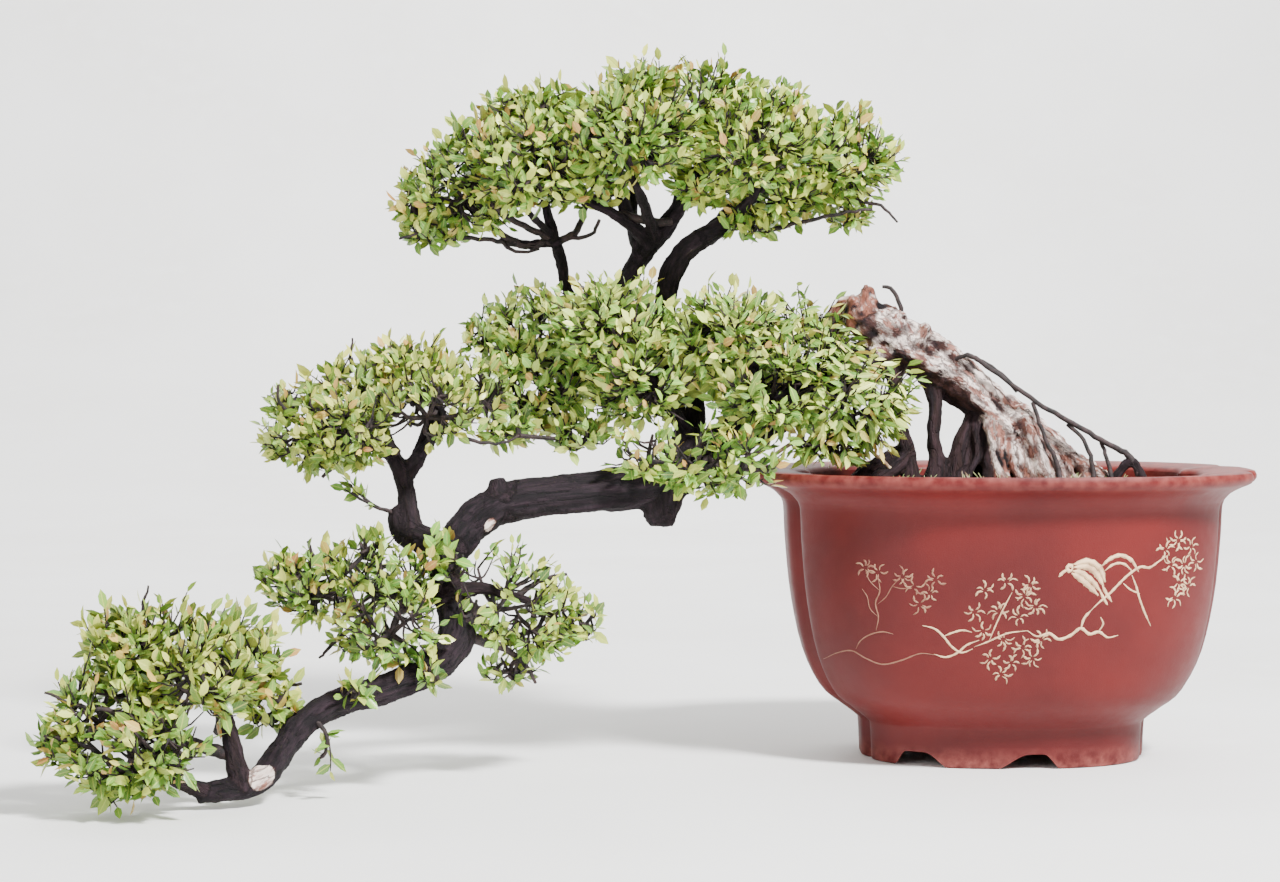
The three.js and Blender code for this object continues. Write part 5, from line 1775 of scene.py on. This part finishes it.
    def twig_leaves(self, line: np.ndarray, way: np.ndarray, reach: float,
                    draw: random.Random) -> list[tuple[float, ...]]:
        """Sets alternate leaves along one twig.

        Args:
            line: the twig, in TWIG_STEPS pieces.
            way: the direction out of its lobe.
            reach: the twig's length in millimetres.
            draw: the seeded draw.

        Returns:
            Rows of root, direction, face, length, width, curl and three growth marks.
        """
        count = max(4, min(9, round(reach * 0.7 / LEAF_PACE_MM)))
        tangents = unit(np.gradient(line, axis=0))
        bronze = draw.random() < 0.12
        tone = draw.random()
        rows = []
        for k in range(count):
            last = k == count - 1
            share = 1.0 if last else 0.34 + 0.66 * (k + draw.uniform(-0.2, 0.2)) / (count - 1)
            nearest = min(TWIG_STEPS, max(0, round(share * TWIG_STEPS)))
            place, tangent = line[nearest], tangents[nearest]
            side = unit(np.cross(tangent, UP * 0.8 + way + jitter(draw, 0.6))) * (1 if k % 2 else -1)
            angle = math.radians(draw.uniform(*TIP_DEGREES) if last else draw.uniform(*SIDE_DEGREES))
            along = tangent * math.cos(angle) + side * math.sin(angle) + UP * draw.uniform(-0.15, 0.55)
            hang = wave(float(place[0]), *MIDDLE_HANG) if self.name == "middle" else 0.0
            along = unit(along + np.array([0.35, 0.0, -0.9]) * hang)
            face = UP * 0.6 + way * 0.5 + jitter(draw, 0.9)
            face = unit(face - along * np.dot(face, along))
            young = draw.uniform(0.0, 0.15)
            if draw.random() < 0.2 + 0.4 * share * self.youth:
                young = draw.uniform(0.35, 1.0) * (0.5 + 0.5 * share)
            length = self.leaf_mm * draw.uniform(0.74, 1.22) * (1.0 if share < 0.8 else draw.uniform(0.62, 1.0))
            tip = place + along * length
            if tip[2] < 1.0 or not clear_of_pot(tip) or draw.random() > in_the_open((place + tip) / 2):
                continue
            bronze_mark = draw.uniform(0.25, 0.75) if bronze and share > 0.72 else 0.0
            green = 0.75 * draw.random() ** 1.2 + 0.25 * tone
            width = length * draw.uniform(0.44, 0.56) * (1 - 0.2 * hang)
            rows.append((*place, *along, *face, length * (1 + 0.12 * hang), width,
                         draw.uniform(0.0, 0.26), young, green, bronze_mark))
        return rows

    def stamp(self, leaves: list[tuple[float, ...]], pattern: Pattern, sink: Gathering) -> None:
        """Copies the leaf to every place at once.

        Args:
            leaves: rows from twig_leaves.
            pattern: the leaf from LeafPattern.model.
            sink: where the leaves go.
        """
        rows = np.array(leaves)
        points, threes, fours, veins = pattern
        root, along, face = rows[:, 0:3], rows[:, 3:6], rows[:, 6:9]
        length, width, curl = rows[:, 9, None], rows[:, 10, None], rows[:, 11, None]
        x, y = points[None, :, 0] * length, points[None, :, 1] * width
        z = points[None, :, 2] * width - curl * points[None, :, 0] ** 2 * length
        across = np.cross(face, along)
        placed = root[:, None] + x[..., None] * along[:, None] + y[..., None] * across[:, None]
        placed += z[..., None] * face[:, None]
        shift = (np.arange(len(rows)) * len(points))[:, None, None]
        marks = np.repeat(np.concatenate([rows[:, 12:15], np.ones((len(rows), 1))], 1), len(points), 0)
        sink.add(in_frame(placed.reshape(-1, 3)), threes[None] + shift, fours[None] + shift, marks=marks,
                 veins=np.tile(veins, (len(rows), 1)))


@dataclass
class Sprig:
    """A short twig of its own with a few leaves."""

    twig: str
    node: str
    way: Point
    seed: int
    leaf_mm: float = 9.2
    reach_mm: float = 22.0

    def build(self, pattern: Pattern) -> None:
        """Grows the twig's leaves and puts the piece in its node's place."""
        draw = random.Random(self.seed)
        grower = Head(self.node, Density.LOOSE, LEAF, "leaf", 0.8, self.seed, self.leaf_mm)
        line = catmull(np.array(FINE_WOOD[self.twig])[:, :3], TWIG_STEPS)
        sink = Gathering()
        sink.tube(line, np.linspace(1.0, 0.4, TWIG_STEPS + 1), 6, slot=1)
        leaves = []
        for _ in range(3):
            bend = line + np.linspace(0, 1, TWIG_STEPS + 1)[:, None] ** 2 * jitter(draw, 6)
            sink.tube(bend[::4], np.linspace(0.7, 0.3, 6), 5, slot=1)
            leaves.extend(grower.twig_leaves(bend, unit(np.array(self.way)), self.reach_mm, draw))
        grower.finish_piece(leaves, pattern, sink, self.node)


HEADS = (
    Head("crown", Density.FULL, LEAF, "leaf", 0.9, 11, 8.6),
    Head("middle", Density.FULL, SUNLIT_LEAF, "leaf", 0.9, 12, 8.9),
    Head("middle_low", Density.SPARSE, LEAF, "leaf", 0.6, 13, 9.3),
    Head("left", Density.LOOSE, YOUNG_LEAF, "young_leaf", 0.9, 14, 8.5),
    Head("lower_left", Density.LOOSE, LEAF, "leaf", 0.55, 15, 9.0),
    Head("lower_right", Density.SPARSE, LEAF, "leaf", 0.8, 16, 8.7),
    Head("tip_upper", Density.LOOSE, YOUNG_LEAF, "young_leaf", 1.0, 17, 9.6),
    Head("tip_lower", Density.LOOSE, LEAF, "leaf", 0.5, 18, 9.4),
)

SPRIGS = (
    Sprig("sprig_arm_twig", "sprig_on_arm", (-0.6, -0.4, 0.6), 21),
    Sprig("under_limb", "sprig_under_limb", (0.1, -0.5, -0.4), 22),
)


# The scene

def look_at(name: str, data: object, eye: Vector, target: Vector) -> Object:
    """Places a lamp or a camera so that it looks at a point.

    Args:
        name: the object's name.
        data: the lamp's or the camera's own data.
        eye: where it stands, in metres.
        target: what it looks at, in metres.

    Returns:
        The placed object.
    """
    holder = bpy.data.objects.new(name, data)
    bpy.context.collection.objects.link(holder)
    holder.location = eye
    holder.rotation_euler = (target - eye).to_track_quat("-Z", "Y").to_euler()
    return holder


def set_floor() -> None:
    """Adds the floor, which bends up into a backdrop behind the plant."""
    bpy.ops.mesh.primitive_plane_add(size=16, location=(0, -6, 0))
    floor = bpy.context.object
    floor.name = "floor"
    bpy.ops.object.transform_apply(location=True)
    start_editing(floor, "DESELECT")
    edit = bmesh.from_edit_mesh(floor.data)
    for edge in edit.edges:
        edge.select = all(vertex.co.y > 1 for vertex in edge.verts)
    bmesh.update_edit_mesh(floor.data)
    back, radius, top = 2, 1.6, 5.0
    bend = [(back + radius * math.sin(a), radius * (1 - math.cos(a))) for a in np.linspace(0, math.pi / 2, 25)]
    for (y, z), (next_y, next_z) in zip(bend, [*bend[1:], (back + radius, top)]):
        bpy.ops.mesh.extrude_region_move(TRANSFORM_OT_translate={"value": (0, next_y - y, next_z - z)})
    face_outward(floor)
    smooth(floor, 60)
    dress(floor, FLOOR)


def set_lights() -> None:
    """Adds the plain bright surroundings and the soft lamps."""
    world = bpy.data.worlds.new("studio")
    bpy.context.scene.world = world
    world.use_nodes = True
    pen = Nodes(world.node_tree)
    background = world.node_tree.nodes["Background"]
    seen = pen.add("ShaderNodeLightPath").outputs["Is Camera Ray"]
    pen.tree.links.new(pen.range(seen, 0.66, 1.4), background.inputs[1])
    background.inputs[0].default_value = (1.0, 1.0, 1.0, 1.0)
    for name, place, size, power, aim in (
            ("key", (1.0, -1.15, 1.75), 0.35, 150, (0, 0, 0.15)),
            ("fill", (-1.3, -1.7, 0.8), 1.4, 18, (0, 0, 0.15)),
            ("backdrop", (0, 1.6, 2.4), 2.0, 120, (0, 3.4, 0.6))):
        light = bpy.data.lights.new(name, "AREA")
        light.size = size
        light.energy = power
        look_at(name, light, Vector(place), Vector(aim))


def set_camera() -> None:
    """Places the camera at the photograph's viewing angle."""
    eye, target = Vector(in_frame(EYE)), Vector(in_frame(TARGET))
    camera = bpy.data.cameras.new("camera")
    camera.sensor_width = 36
    camera.lens = camera.sensor_width * (eye - target).length / (FRAME_WIDTH_MM * MM)
    bpy.context.scene.camera = look_at("camera", camera, eye, target)


def main() -> None:
    """Builds the bonsai and its studio, piece by piece."""
    logging.basicConfig(level=logging.INFO, format="%(name)s: %(message)s")
    set_camera()
    set_floor()
    set_lights()
    SlipPicture().build(ClayPot().build())
    SoilBed().build()
    tree = Tree()
    tree.build()
    tree.build_fine()
    pattern = LeafPattern().model()
    wood = skeleton_points()
    for head in HEADS:
        head.build(pattern, wood)
    for sprig in SPRIGS:
        sprig.build(pattern)
    dress(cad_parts["drainage_net"], NET)


if __name__ == "__main__":
    main()
